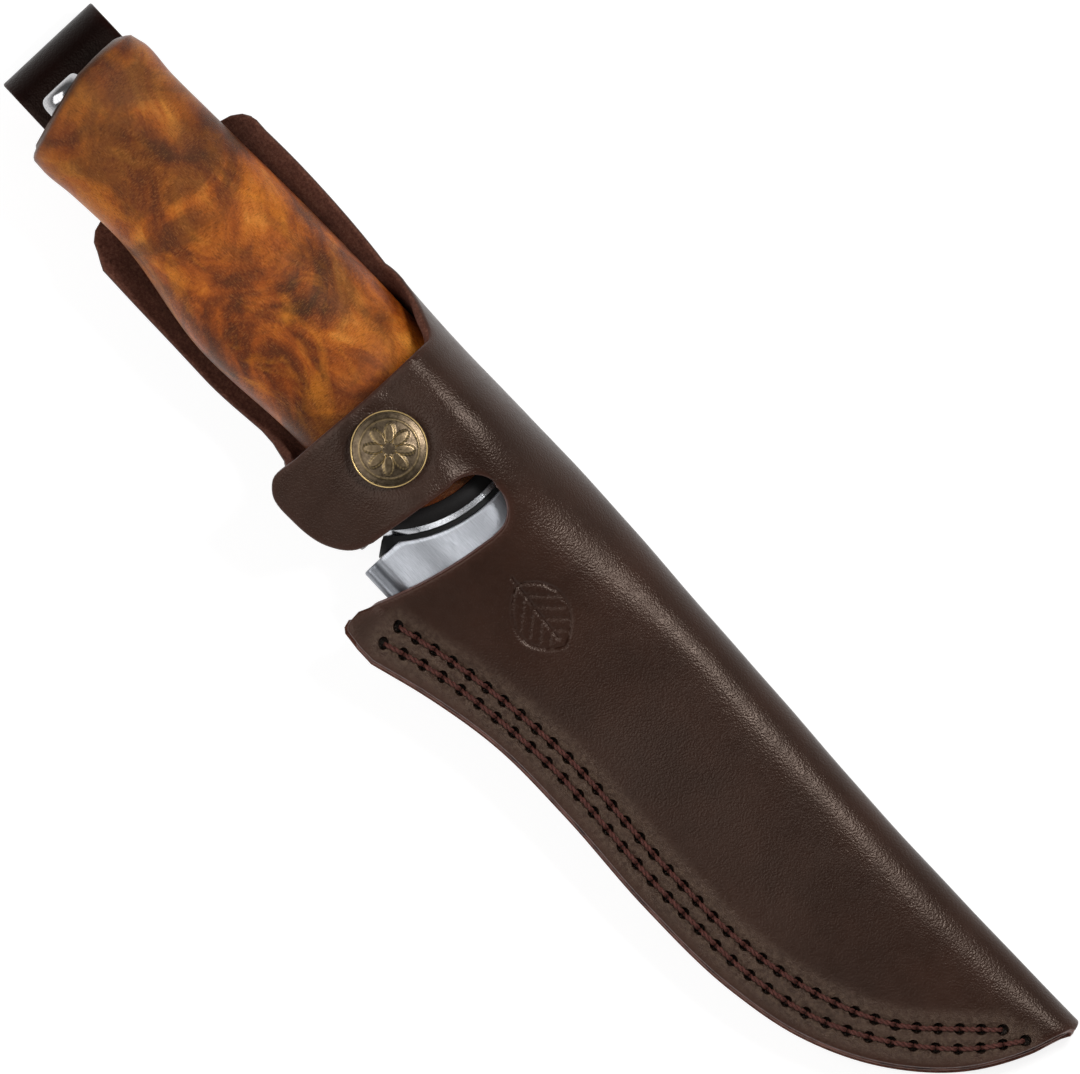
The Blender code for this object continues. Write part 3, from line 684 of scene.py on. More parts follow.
ROOT_PITCH = 0.5
ROOT_X = np.arange(-3, 35.1, ROOT_PITCH)
ROOT_Y = np.arange(0, 16.1, ROOT_PITCH)


def root_table():
    """The height of the folded leather's front over x and y round the strap's root."""
    rows = [to_flat([(x, y) for y in ROOT_Y], True) for x in ROOT_X]
    return np.array([on_wrap(row[:, 0], row[:, 1])[:, 1] for row in rows])


ROOT = root_table()


def strap_height(x, y):
    """The strap's outside: the folded leather's own height at its root, its own section beyond it."""
    root = look_up(ROOT, (x - ROOT_X[0]) / ROOT_PITCH, (y - ROOT_Y[0]) / ROOT_PITCH)
    share = step((y - 1) / 6)
    return along(STRAP_SECTION, y) * (1 - share) + root * share


def strap_surface(flat):
    """Places and normals on the strap's outside, from x and y."""
    x, y = flat[:, 0], flat[:, 1]
    reach = 0.6
    slope_x = (strap_height(x + reach, y) - strap_height(x - reach, y)) / (2 * reach)
    slope_y = (strap_height(x, y + reach) - strap_height(x, y - reach)) / (2 * reach)
    normal = unit(np.column_stack([-slope_x, -slope_y, np.ones(len(x))]))
    return np.column_stack([x, y, strap_height(x, y)]), normal


def strap_relief(flat):
    """A dent round the snap's cap, which pulls the leather down, and a slight crease."""
    from_snap = np.linalg.norm(flat - np.array(SNAP), axis=1)
    dent = -0.4 * peak(from_snap - CAP_RADIUS, 1.3)
    crease = -0.05 * np.sin(flat[:, 0] * 0.5 + flat[:, 1] * 0.2)
    return dent + crease * step((9 - flat[:, 1]) / 5), {}


def plane_surface(height):
    """A surface function for a flat sheet at a height."""

    def surface(flat):
        place = np.column_stack([flat, np.full(len(flat), height)])
        return place, np.tile((0.0, 0.0, 1.0), (len(flat), 1))

    return surface


# ---- Materials


def rgb(red, green, blue):
    """A colour given as it looks on a screen, from 0 to 255, as a shader needs it."""
    return (*((c / 255) ** 2.2 for c in (red, green, blue)), 1)


class Shade:
    """One material under construction."""

    def __init__(self, name, roughness=0.5, metallic=0.0, specular=0.5, tint=(1, 1, 1, 1)):
        self.material = bpy.data.materials.new(name)
        self.material.use_nodes = True
        self.tree = self.material.node_tree
        self.shader = self.tree.nodes["Principled BSDF"]
        self.shader.inputs["Roughness"].default_value = roughness
        self.shader.inputs["Metallic"].default_value = metallic
        self.shader.inputs["Specular IOR Level"].default_value = specular
        self.shader.inputs["Specular Tint"].default_value = tint

    def feed(self, node, inputs):
        """Links or sets each input of a node."""
        for key, value in inputs:
            if isinstance(value, bpy.types.NodeSocket):
                self.tree.links.new(value, node.inputs[key])
            else:
                node.inputs[key].default_value = value

    def node(self, kind, inputs=(), **settings):
        node = self.tree.nodes.new(kind)
        for key, value in settings.items():
            setattr(node, key, value)
        self.feed(node, inputs)
        return node

    def place(self, scale=(1, 1, 1), shift=(0, 0, 0)):
        """The rest place in millimetres, stretched."""
        source = self.node("ShaderNodeAttribute", attribute_name="rest").outputs["Vector"]
        inputs = [("Vector", source), ("Scale", scale), ("Location", shift)]
        return self.node("ShaderNodeMapping", inputs).outputs["Vector"]

    def mask(self, name):
        return self.node("ShaderNodeAttribute", attribute_name=name).outputs["Fac"]

    def noise(self, vector, scale, detail=4.0, roughness=0.6, distortion=0.0):
        inputs = [("Vector", vector), ("Scale", scale), ("Detail", detail), ("Roughness", roughness)]
        return self.node("ShaderNodeTexNoise", inputs + [("Distortion", distortion)]).outputs["Fac"]

    def cells(self, vector, scale, feature="F1"):
        inputs = [("Vector", vector), ("Scale", scale)]
        return self.node("ShaderNodeTexVoronoi", inputs, feature=feature).outputs["Distance"]

    def ramp(self, value, stops):
        """A value turned into a grey or a colour through (position, grey or colour) stops."""
        node = self.node("ShaderNodeValToRGB", [("Fac", value)])
        elements = node.color_ramp.elements
        while len(elements) < len(stops):
            elements.new(0.5)
        for element, (position, colour) in zip(elements, stops):
            element.position = position
            element.color = colour if isinstance(colour, tuple) else (colour, colour, colour, 1)
        return node.outputs["Color"]

    def mix(self, share, a, b):
        """Colour a, with a share of colour b."""
        return self.node("ShaderNodeMix", [(0, share), (6, a), (7, b)], data_type="RGBA").outputs[2]

    def math(self, operation, a, b=0.0, clamp=False):
        inputs = [(0, a), (1, b)]
        return self.node("ShaderNodeMath", inputs, operation=operation, use_clamp=clamp).outputs[0]

    def bump(self, height, strength, depth_mm, after=None):
        inputs = [("Height", height), ("Strength", strength), ("Distance", depth_mm * MM)]
        if after is not None:
            inputs.append(("Normal", after))
        return self.node("ShaderNodeBump", inputs).outputs["Normal"]

    def finish(self, colour, roughness, normal):
        self.feed(self.shader, [("Base Color", colour), ("Roughness", roughness), ("Normal", normal)])
        return self.material


def grain_leather(name, deep, light, worn, edge, specular):
    """The smooth side: waxed brown with a fine pebble, paler along seams from rubbing and a painted sheen,
    and redder at cut edges.
    """
    shade = Shade(name, specular=specular, tint=(1, 0.8, 0.68, 1))
    place = shade.place()
    slow = shade.noise(place, 0.05, 3)
    fine = shade.noise(place, 1.1, 5, 0.7)
    colour = shade.mix(shade.ramp(slow, [(0.35, 0.0), (0.68, 1.0)]), deep, light)
    colour = shade.mix(shade.math("MULTIPLY", fine, 0.25), colour, rgb(22, 14, 12))
    patchy = shade.ramp(shade.noise(place, 0.9, 6, 0.75), [(0.4, 0.1), (0.62, 0.85)])
    # paler along the seams: rubbed wear mixed with a painted sheen on the flat stitched margin
    colour = shade.mix(shade.math("MULTIPLY", shade.mask("wear_and_sheen"), patchy), colour, worn)
    colour = shade.mix(shade.math("MULTIPLY", shade.mask("edge"), 0.75), colour, edge)
    colour = shade.mix(shade.mask("dark"), colour, rgb(9, 5, 4))
    roughness = shade.ramp(shade.noise(place, 0.35, 4), [(0.3, 0.31), (0.7, 0.4)])
    pebble = shade.ramp(shade.cells(place, 2.6, "SMOOTH_F1"), [(0.05, 0.0), (0.6, 1.0)])
    wrinkle = shade.noise(shade.place((0.5, 1.6, 1.6)), 0.8, 6, 0.7)
    normal = shade.bump(pebble, 0.5, 0.09)
    normal = shade.bump(wrinkle, 0.15, 0.08, normal)
    scuffs = shade.math("MULTIPLY", shade.noise(place, 2.6, 5, 0.8), shade.mask("wear_and_sheen"))
    return shade.finish(colour, roughness, shade.bump(scuffs, 0.7, 0.3, normal))


def flesh_leather():
    """The rough side: short mottled nap."""
    shade = Shade("leather_flesh", specular=0.2)
    place = shade.place()
    nap = shade.noise(place, 1.6, 8, 0.8)
    blotch = shade.noise(place, 0.28, 4)
    colour = shade.ramp(nap, [(0.3, rgb(52, 30, 24)), (0.5, rgb(98, 62, 50)), (0.7, rgb(136, 94, 78))])
    colour = shade.mix(shade.ramp(blotch, [(0.35, 0.0), (0.7, 0.4)]), colour, rgb(66, 40, 33))
    fibres = shade.noise(shade.place((1.0, 2.4, 2.4)), 1.3, 8, 0.85)
    return shade.finish(colour, 0.92, shade.bump(fibres, 0.9, 0.35))


def edge_leather():
    """Cut and burnished edges: reddish, in thin dark-lined layers."""
    shade = Shade("leather_cut_edge", specular=0.4)
    layers = shade.noise(shade.place((0.15, 0.15, 2.2)), 1.2, 5, 0.6)
    colour = shade.ramp(layers, [(0.36, rgb(52, 32, 28)), (0.5, rgb(104, 70, 60)), (0.62, rgb(128, 88, 78))])
    return shade.finish(colour, 0.55, shade.bump(layers, 0.5, 0.2))


def thread_material():
    """Waxed thread, reddish brown and a little uneven."""
    shade = Shade("thread_waxed", specular=0.3)
    place = shade.place()
    colour = shade.ramp(shade.noise(place, 2.5, 4), [(0.3, rgb(58, 31, 27)), (0.7, rgb(96, 56, 48))])
    return shade.finish(colour, 0.7, shade.bump(shade.noise(place, 9.0, 3), 0.5, 0.08))


def wood_material():
    """Stained curly birch: slow flames and dark clouds, dense short pores, an oiled sheen."""
    shade = Shade("wood_curly_birch", specular=0.36, tint=(1, 0.72, 0.46, 1))
    place = shade.place()
    flames = shade.noise(shade.place((0.9, 1.3, 1.3), (3, 11, 2)), 0.045, 7, 0.6, 1.3)
    clouds = shade.noise(shade.place((1.2, 0.9, 0.9), (41, 9, 0)), 0.04, 6, 0.6, 1.0)
    gold = shade.noise(shade.place((0.8, 1.2, 1.2), (8, 30, 5)), 0.06, 6, 0.62, 1.2)
    colour = shade.ramp(
        flames,
        [
            (0.33, rgb(50, 20, 9)), (0.42, rgb(96, 40, 13)), (0.50, rgb(138, 64, 19)),
            (0.58, rgb(176, 92, 27)), (0.69, rgb(212, 132, 50)),
        ],
    )
    colour = shade.mix(shade.ramp(gold, [(0.52, 0.0), (0.66, 0.6)]), colour, rgb(206, 122, 34))
    colour = shade.mix(shade.ramp(clouds, [(0.47, 0.0), (0.6, 0.66)]), colour, rgb(56, 25, 15))
    across = shade.noise(shade.place((4.2, 1.1, 1.1)), 1.2, 7, 0.8, 0.7)
    onward = shade.noise(shade.place((1.1, 4.2, 4.2), (9, 1, 4)), 1.2, 7, 0.8, 0.7)
    turn = shade.ramp(shade.noise(place, 0.07, 3), [(0.44, 0.0), (0.56, 1.0)])
    pores = shade.mix(turn, across, onward)
    colour = shade.mix(shade.ramp(pores, [(0.4, 0.62), (0.5, 0.0)]), colour, rgb(40, 18, 11))
    colour = shade.mix(shade.ramp(pores, [(0.52, 0.0), (0.64, 0.36)]), colour, rgb(206, 136, 74))
    lengthways = shade.node("ShaderNodeSeparateXYZ", [(0, place)]).outputs["X"]
    to_butt = shade.math("MULTIPLY", shade.math("ADD", lengthways, 50.0), -0.02, clamp=True)
    colour = shade.mix(shade.math("MULTIPLY", to_butt, 0.5), colour, rgb(74, 40, 30))
    knots = shade.cells(shade.place((0.5, 1.0, 1.0)), 0.085)
    colour = shade.mix(shade.ramp(knots, [(0.02, 0.9), (0.06, 0.0)]), colour, rgb(26, 12, 9))
    colour = shade.mix(shade.mask("edge"), colour, rgb(50, 27, 15))
    roughness = shade.ramp(shade.noise(place, 0.4, 4), [(0.3, 0.3), (0.7, 0.4)])
    return shade.finish(colour, roughness, shade.bump(pores, 0.9, 0.14))


def steel_material(name, brush, base, rough_low, rough_high, depth):
    """Steel with fine scratches along the direction where brush is small, and painted shade where the piece
    has a dark mask.
    """
    shade = Shade(name, metallic=1.0)
    scratches = shade.noise(shade.place(brush), 3.0, 6, 0.75)
    colour = shade.mix(shade.ramp(scratches, [(0.35, 0.0), (0.65, 0.6)]), base, rgb(118, 121, 128))
    # painted shade: darker steel where the piece has a dark mask
    colour = shade.mix(shade.mask("dark"), colour, rgb(66, 68, 73))
    roughness = shade.ramp(scratches, [(0.3, rough_low), (0.7, rough_high)])
    return shade.finish(colour, roughness, shade.bump(scratches, 0.4, depth))


def blade_material():
    """Laminated steel: satin flats, a brighter core above the edge behind a wavy line."""
    shade = Shade("steel_blade", metallic=1.0)
    scratches = shade.noise(shade.place((0.12, 3.0, 3.0)), 2.2, 6, 0.7)
    wave = shade.noise(shade.place((0.25, 0.0, 0.0)), 1.0, 3)
    swing = shade.math("MULTIPLY", shade.math("SUBTRACT", wave, 0.5), 0.5)
    core = shade.ramp(shade.math("ADD", shade.mask("grind"), swing), [(0.43, 0.0), (0.47, 1.0)])
    colour = shade.mix(core, rgb(203, 206, 211), rgb(176, 180, 187))
    roughness = shade.mix(core, shade.ramp(scratches, [(0.3, 0.24), (0.7, 0.36)]), (0.13, 0.13, 0.13, 1))
    return shade.finish(colour, roughness, shade.bump(scratches, 0.25, 0.03))


def brass_material():
    """Antique brass: darkened in its hollows, rubbed golden on rims and raised lines."""
    shade = Shade("brass_antique", metallic=1.0)
    place = shade.place()
    patina = shade.noise(place, 0.9, 5, 0.7)
    dark = shade.ramp(patina, [(0.3, rgb(70, 60, 50)), (0.7, rgb(112, 98, 80))])
    left_dull = shade.ramp(patina, [(0.2, 0.7), (0.6, 1.0)])
    rubbed = shade.math("MULTIPLY", shade.mask("worn"), left_dull, clamp=True)
    colour = shade.mix(rubbed, dark, rgb(222, 190, 130))
    roughness = shade.ramp(shade.noise(place, 2.2, 4), [(0.3, 0.26), (0.7, 0.42)])
    return shade.finish(colour, roughness, shade.bump(patina, 0.15, 0.05))


def black_material(name, base, roughness):
    """Black fibre or leather with a faint speckle."""
    shade = Shade(name, specular=0.2)
    speck = shade.noise(shade.place(), 3.0, 4)
    lighter = tuple(min(1.0, c * 1.8 + 0.004) for c in base[:3])
    colour = shade.mix(shade.ramp(speck, [(0.4, 0.0), (0.75, 0.6)]), base, (*lighter, 1))
    return shade.finish(colour, roughness, shade.bump(speck, 0.25, 0.05))


GRAIN = grain_leather(
    "leather_grain", rgb(42, 27, 21), rgb(53, 35, 28), rgb(84, 68, 57), rgb(70, 43, 36), 0.34,
)
# painted shade: a darker copy of the grain leather for the belt loop, which lies in the handle's shadow
GRAIN_PAINTED_SHADE = grain_leather(
    "leather_dark", rgb(19, 8, 7), rgb(29, 13, 11), rgb(42, 25, 21), rgb(44, 22, 18), 0.12,
)
FLESH = flesh_leather()
CUT_EDGE = edge_leather()
THREAD = thread_material()
WOOD = wood_material()
GUARD_STEEL = steel_material("steel_guard", (0.12, 3.0, 0.12), rgb(190, 193, 199), 0.28, 0.44, 0.06)
WASHER_STEEL = steel_material("steel_washer", (1.0, 1.0, 1.0), rgb(196, 194, 194), 0.1, 0.2, 0.01)
BLADE_STEEL = blade_material()
BRASS = brass_material()
SPACER_LEATHER = black_material("spacer_leather", rgb(24, 22, 22), 0.5)
SPACER_FIBRE = black_material("spacer_fibre", rgb(18, 18, 18), 0.55)
SPACER_METAL = steel_material("spacer_metal", (0.3, 3.0, 0.3), rgb(226, 228, 232), 0.2, 0.32, 0.03)


# ---- The sheath


def ear_skive(flat, gap):
    """The ears thin out to their rims."""
    return 1.1 * (1 - step(gap / 4.0)) * step((-4 - flat[:, 0]) / 8)


def make_sheath():
    """The folded leather with its tray, ears and closing tab, in one piece as it is cut."""
    leaf = leaf_points()
    root = to_flat(np.linspace(JOIN_END, JOIN_START, 14), True)

    def clear(points):
        away = np.ones(len(points), bool)
        for seam in SEAMS:
            away &= line_distance(points, seam) > 1.9
        low, high = leaf.min(axis=0) - 0.3, leaf.max(axis=0) + 0.3
        return away & ~((points > low) & (points < high)).all(axis=1)

    def joined(middles):
        return line_distance(middles, root) < 0.05

    points, faces, picks, masks = panel(
        sheath_outline(), 1.5, wrap_surface, joined=joined, fine=(seam_points(), leaf), clear=clear,
        relief=sheath_relief, thinned=ear_skive,
    )
    on_ear = np.array([points[face[0]][0] < 6 for face in faces])
    picks = np.where(on_ear & (np.array(picks) == 2), 1, picks)
    add_piece(
        "sheath_body", points, faces, [GRAIN, FLESH, CUT_EDGE], "sheath", ("sheath_leather", "closing_tab"),
        picks, masks,
    )


def make_welt():
    """The strip between front and back along the stitched edge."""
    edge = inset(corner_and_edge(), 0.35)
    inner = [(x, along(INNER_SEAM, x) + 1.5) for x in np.arange(192.0, 37, -3)]
    outline = np.concatenate([edge[3:], inner, [(36.0, -26.2), (33.6, -31.8), (32.4, -34.6)]])
    pressed_in = 0.25  # on each side
    top = plane_surface(WELT / 2 + pressed_in)
    points, faces, _, masks = panel(outline, 1.6, top, WELT + 2 * pressed_in, 0.3)
    add_piece("sheath_welt", points, faces, [CUT_EDGE], "sheath", ("welt",), None, masks)


def make_strap():
    """The snap strap, from its root, where it meets the sheath's piece, to its free end."""
    points, faces, picks, masks = panel(
        strap_outline(), 1.1, strap_surface, joined=on_join, relief=strap_relief,
    )
    strap = add_piece(
        "snap_strap", points, faces, [GRAIN, FLESH, CUT_EDGE], None, ("retention_strap",),
        picks, masks,
    )
    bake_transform(strap)


def tube(line, side, radius):
    """A round strand along a line; side is across it at each point."""
    direction = unit(np.gradient(line, axis=0))
    first = unit(np.cross(direction, side))
    second = np.cross(direction, first)
    turns = full_turn(7)
    return loft([
        m + radius * (np.outer(np.cos(turns), u) + np.outer(np.sin(turns), v))
        for m, u, v in zip(line, first, second)
    ])


def stitches(name, holes, normals, replaces, sunk=0.0):
    """Saddle stitches: two twisted strands from hole to hole, diving into each."""
    wound, lay, depth = 0.26, 2.7, 2.0  # strands about their middle, one twist's length, into a hole
    t = np.linspace(0.06, 0.94, 17)
    dive = depth * abs(2 * t - 1) ** 3.5
    points, faces = [], []
    for a, b, up_a, up_b in zip(holes, holes[1:], normals, normals[1:]):
        length = np.linalg.norm(b - a)
        up = unit(up_a * (1 - t)[:, None] + up_b * t[:, None])
        side = np.cross(up, (b - a) / length)
        for phase in (0, np.pi):
            twist = 2 * np.pi * t * length / lay + phase
            middle = a + (b - a) * t[:, None] + up * (0.08 - sunk - dive)[:, None]
            middle += wound * (np.cos(twist)[:, None] * side + np.sin(twist)[:, None] * up)
            body, body_faces = tube(middle, side, 0.3)
            base = sum(len(p) for p in points)
            points.append(body)
            faces += [tuple(base + i for i in f) for f in facing_out(body, body_faces)]
    add_piece(name, np.concatenate(points), faces, [THREAD], "sheath", replaces, sharp=80)


def make_seams():
    """Both rows of saddle stitching, on the front and on the back."""
    for seam, node in zip(SEAMS, ("inner_front", "inner_back", "outer_front", "outer_back")):
        place, normal = wrap_surface(seam)
        stitches("stitching_" + node, place, normal, ("seam_thread_" + node,))


# ---- The belt loop


def ground(x):
    """The height of the ground in the knife's frame, which leans."""
    return -TIP_BACK - (TIP_X - x) * REST_SLOPE


def loop_line():
    """The middle of the belt loop's leather in X and Z, from the inner layer's end to the outer one's."""
    half = LEATHER / 2
    inner_z = LOOP_INNER_FACE - half
    sewn = [(x, along(BACK_DEPTH, x) - 0.4 - half) for x in (50.0, 42.0, 36.0, NOTCH[1], NOTCH[0], 12.0)]
    inner = [(0, along(BACK_DEPTH, 0) - 0.6 - half), (-24, inner_z), (-60, inner_z)]
    bend_x = LOOP_TOP + LOOP_FOLD_HALF + half
    outer_z = ground(bend_x) + half
    middle_z, rise = (inner_z + outer_z) / 2, (inner_z - outer_z) / 2
    turns = np.radians(90 + 180 * np.arange(11) / 10)
    bend = [(bend_x + LOOP_FOLD_HALF * math.cos(a), middle_z + rise * math.sin(a)) for a in turns]
    outer = [(x, ground(x) + half) for x in (-60, -24, -4)]
    sewn_outer = [(x, z - LEATHER - 0.3) for x, z in sewn[::-1]]
    line = smooth_line(sewn + inner + bend + outer + sewn_outer, 500)
    line[:, 1] = np.maximum(line[:, 1], ground(line[:, 0]) + half + 0.1)
    return line


LOOP_LINE = loop_line()
LOOP_STEPS = distances_along(LOOP_LINE)


def loop_surface(flat):
    """Places and normals on the belt loop's outside, from the length along it and y."""
    t, y = flat[:, 0], flat[:, 1]
    reach = 0.6
    onward = point_at(LOOP_STEPS, LOOP_LINE, t + reach) - point_at(LOOP_STEPS, LOOP_LINE, t - reach)
    direction = unit(onward)
    normal = np.column_stack([direction[:, 1], np.zeros(len(t)), -direction[:, 0]])
    middle = point_at(LOOP_STEPS, LOOP_LINE, t)
    place = np.column_stack([middle[:, 0], y, middle[:, 1]]) + normal * (LEATHER / 2)
    return place, normal


def make_belt_loop():
    """One long strip, sewn on at both ends and folded behind the pommel."""
    radius = 1.6  # of its corners
    low, high = LOOP_LOW + radius, LOOP_HIGH - radius
    near, far = radius, LOOP_STEPS[-1] - radius
    corners = [(near, low, 180), (far, low, 270), (far, high, 0), (near, high, 90)]
    outline = np.concatenate([arc((x, y), radius, start, start + 90, 5) for x, y, start in corners])
    points, faces, picks, masks = panel(outline, 1.8, loop_surface, rounding=0.45)
    # the loop gets the darker copy of the grain leather, with its painted shade
    add_piece(
        "belt_strap", points, facing_out(points, faces), [GRAIN_PAINTED_SHADE, FLESH, CUT_EDGE], "sheath",
        ("belt_loop",), picks, masks,
    )


def make_loop_stitches():
    """The box of stitches that fastens the loop, on its outer layer."""
    margin = 3.0
    low, high = LOOP_LOW + margin, LOOP_HIGH - margin
    xs = np.arange(34, 48.1, 3.5)
    ys = np.linspace(low, high, 7)
    box = [(x, low) for x in xs] + [(xs[-1], y) for y in ys[1:]] + [(x, high) for x in xs[::-1][1:]]
    box += [(xs[0], y) for y in ys[::-1][1:]]
    places = [(x, y, along(BACK_DEPTH, x) - 2 * LEATHER - 0.7 - 0.15) for x, y in box]
    normals = np.tile((0.0, 0.0, -1.0), (len(places), 1))
    stitches("stitching_loop", np.array(places), normals, ("loop_thread",), sunk=0.1)


# ---- The snap


def lathe(name, profile, body, node, relief=None, worn=None):
    """A turned piece about the snap's axis: (radius, height) from the top's middle to the underside's."""
    turns = full_turn(96)
    rings, masks = [], []
    for radius, height in profile:
        radius = max(radius, 0.01)
        lift = relief(radius, turns) if relief else 0 * turns
        circle = [SNAP[0] + radius * np.cos(turns), SNAP[1] + radius * np.sin(turns), height + lift]
        rings.append(np.stack(circle, axis=1))
        masks.append(worn(radius, turns) if worn else np.full(len(turns), 0.35))
    values = np.concatenate([*masks, [masks[0][0], masks[-1][0]]])
    add_body(name, rings, BRASS, body, (node,), {"worn": values}, sharp=40)


CAP_RING = 6.2


def petal(radius, turns):
    """How far inside one of eight rounded petals a place on the cap lies."""
    wedge = (turns + np.pi / 8) % (np.pi / 4) - np.pi / 8
    across = abs(radius * np.sin(wedge))
    half = 1.05 * np.sqrt(np.clip(1 - ((radius - 3.4) / 2.1) ** 2, 0, 1))
    return step((half - across) / 0.35 + 0.5) * (half > 0)


def cap_relief(radius, turns):
    """Raised petals inside a fine raised ring."""
    return 0.26 * petal(radius, turns) + 0.12 * peak(radius - CAP_RING, 0.16)


def cap_worn(radius, turns):
    """Rubbed bright along the petals' outlines, the ring and the rim."""
    inside = petal(radius, turns)
    outlines = inside * (1 - inside) * 4
    rim = 1.0 if 7.75 < radius < 8.08 else 0.0
    return np.clip(0.6 * outlines + 0.06 * inside + rim + 0.2 * peak(radius - CAP_RING, 0.2), 0, 1)


def make_snap():
    """Cap and socket on the strap, stud and post on the closing tab."""
    dome = [(r, 22.15 - 0.85 * (r / 7.4) ** 2) for r in np.arange(0, 7.4, 0.17)]
    rim = [
        (7.5, 21.22), (7.62, 21.22), (7.72, 21.36), (7.85, 21.4), (8.0, 21.28), (8.08, 21.0), (8.1, 20.6),
        (8.1, 19.6),
    ]
    under = [(7.6, 19.4), (1.5, 19.4), (1.5, 15.8), (0, 15.8)]
    lathe("snap_cap_antique", dome + rim + under, "strap", "snap_cap", cap_relief, cap_worn)
    socket = [
        (0, 16.7), (1.9, 16.7), (5.2, 16.7), (5.45, 16.5), (5.4, 16.1), (4.7, 15.2), (4.4, 14.9), (3.0, 14.9),
        (2.75, 15.1), (2.75, 15.7), (1.9, 15.9), (0, 15.9),
    ]
    lathe("snap_socket_ring", socket, "strap", "snap_socket")
    stud = [
        (0, 17.2), (1.6, 17.2), (1.95, 17.05), (2.1, 16.8), (2.0, 16.55), (2.2, 16.4), (4.6, 16.35),
        (4.8, 16.2), (4.8, 15.9), (0, 15.9),
    ]
    lathe("snap_stud_button", stud, "sheath", "snap_stud")
    post = [
        (0, 15.9), (1.4, 15.9), (1.4, 13.5), (4.4, 13.4), (4.6, 13.2), (4.6, 12.9), (4.3, 12.8), (0, 12.8),
    ]
    lathe("snap_post_rivet", post, "sheath", "snap_post")


# ---- The knife


def handle_outside(x, turns):
    """(y, z) of the handle at each x and turn."""
    high, low = along(HANDLE_SPINE, x), along(HANDLE_BELLY, x)
    thick = along(HANDLE_THICKNESS, x)
    roundness = 0.94
    across = np.sign(np.cos(turns)) * abs(np.cos(turns)) ** roundness
    out = np.sign(np.sin(turns)) * abs(np.sin(turns)) ** roundness
    return np.stack([(high + low) / 2 + (high - low) / 2 * across, thick * out], axis=1)


def shrunk(section, amount):
    """A section drawn in by about an amount all round."""
    middle = section.mean(axis=0)
    reach = np.linalg.norm(section - middle, axis=1)[:, None]
    return middle + (section - middle) * (1 - amount / reach)


def settle(x_of_y, share, other, turns):
    """(x, section) of the handle where x follows the section's own y, a share of the way to another face."""
    x = np.zeros(len(turns))
    for _ in range(6):
        y = handle_outside(x, turns)[:, 0]
        x = x_of_y(y) * (1 - share) + other(y) * share
    return x, handle_outside(x, turns)


def face_x(radius):
    """A function that gives x at each y on an arched face of this radius."""

    def at(y):
        return FACE_CENTRE[0] + np.sqrt(np.maximum(radius**2 - (y - FACE_CENTRE[1]) ** 2, 0))

    return at


def butt_x(y):
    """The butt: square to the knife above, slanting forward below."""
    slant = -90.3 + np.maximum(2.5 - y, 0) * 0.296
    return slant + 0.25 * peak(y - 2.5, 4)


def face_rings(face, turns, bevel):
    """The rings of a flat or arched face across the handle, from its middle out."""
    _, section = settle(face, 0.0, face, turns)
    middle = section.mean(axis=0)
    drawn = [middle + (section - middle) * scale for scale in (0.05, 0.35, 0.65, 0.88)]
    return [np.column_stack([face(ring[:, 0]), ring]) for ring in (*drawn, shrunk(section, bevel))]


def make_handle():
    """The handle from its butt to the thick spacer, with a darkened butt edge."""
    turns = full_turn(120)
    rounding = 1.7  # of the butt, along the knife
    rings = face_rings(butt_x, turns, 1.5)
    darkened = [0.9] * len(rings) + [0.95, 0.85, 0.55, 0.15]
    x, _ = settle(butt_x, 0.0, butt_x, turns)
    for amount, forward in ((1.15, 0.08), (0.6, 0.5), (0.2, 1.05), (0.0, rounding)):
        rings.append(np.column_stack([x + forward, shrunk(handle_outside(x + forward, turns), amount)]))
    for share in np.linspace(0.03, 0.985, 90):
        place, section = settle(lambda y: butt_x(y) + rounding, share, face_x(24.4), turns)
        rings.append(np.column_stack([place, section]))
    end = face_x(24.55)
    _, section = settle(end, 0.0, end, turns)
    rings.append(np.column_stack([face_x(24.45)(section[:, 0]), section]))
    rings += face_rings(end, turns, 0.12)[::-1]
    edge = np.zeros(len(rings) * len(turns) + 2)
    edge[: len(darkened) * len(turns)] = np.repeat(darkened, len(turns))
    edge[-2] = darkened[0]  # the middle of the butt
    add_body("handle_birch", rings, WOOD, "knife", ("handle",), {"edge": edge})


def make_plate(name, node, start, end, material, slot, lip=0.0):
    """A spacer between two faces, given as x for each y. A lip carries its lower end further down."""
    turns = full_turn(96)
    bevel = 0.1

    def lowered(section, face):
        y = section[:, 0] - lip * step((-12.5 - section[:, 0]) / 4.5)
        return np.column_stack([face(y), y, section[:, 1]])

    rings = [lowered(ring[:, 1:], start) for ring in face_rings(start, turns, bevel)]
    for share in (0.04, 0.96):
        _, section = settle(start, share, end, turns)
        rings.append(lowered(section, lambda y: start(y) * (1 - share) + end(y) * share))
    rings += [lowered(ring[:, 1:], end) for ring in face_rings(end, turns, bevel)[::-1]]
    add_body(name, rings, material, "knife", (node,))


def fibre_back(y):
    """The fibre spacer's back: beside the bright spacer, then along the lip behind the quillon."""
    return np.maximum(face_x(29.35)(y), 22.9 - (y + 17) * 0.75)


GUARD_SIDE = [(17.7, 0), (17.2, 2.6), (15.2, 5.6), (8, 8.9), (0, 9.6), (-9, 8.3), (-15, 5.9), (-20.4, 4.3)]
GUARD_FOOT = [(-21.0, 4.0), (-22.0, 3.0), (-22.9, 2.55), (-24.2, 2.4), (-25.0, 1.7), (-25.2, 0)]
GUARD_BACK_EDGE = [(0.5, 0.0), (0.18, 0.1), (0.0, 0.4)]  # how far in, and how far along the knife
GUARD_FRONT_EDGE = [(0.0, -0.5), (0.2, -0.15), (0.6, 0.0)]


def guard_back(y):
    """The guard's back at each y: arched over the spacers, square behind the quillon."""
    return np.maximum(face_x(GUARD_BACK)(y), QUILLON_BACK)


def guard_front(y):
    """The guard's front: square to the blade, then tapering to the foot."""
    return np.interp(y, (-26, -22, -17, -13), (36.5, 36.5, 38.5, GUARD_FRONT))


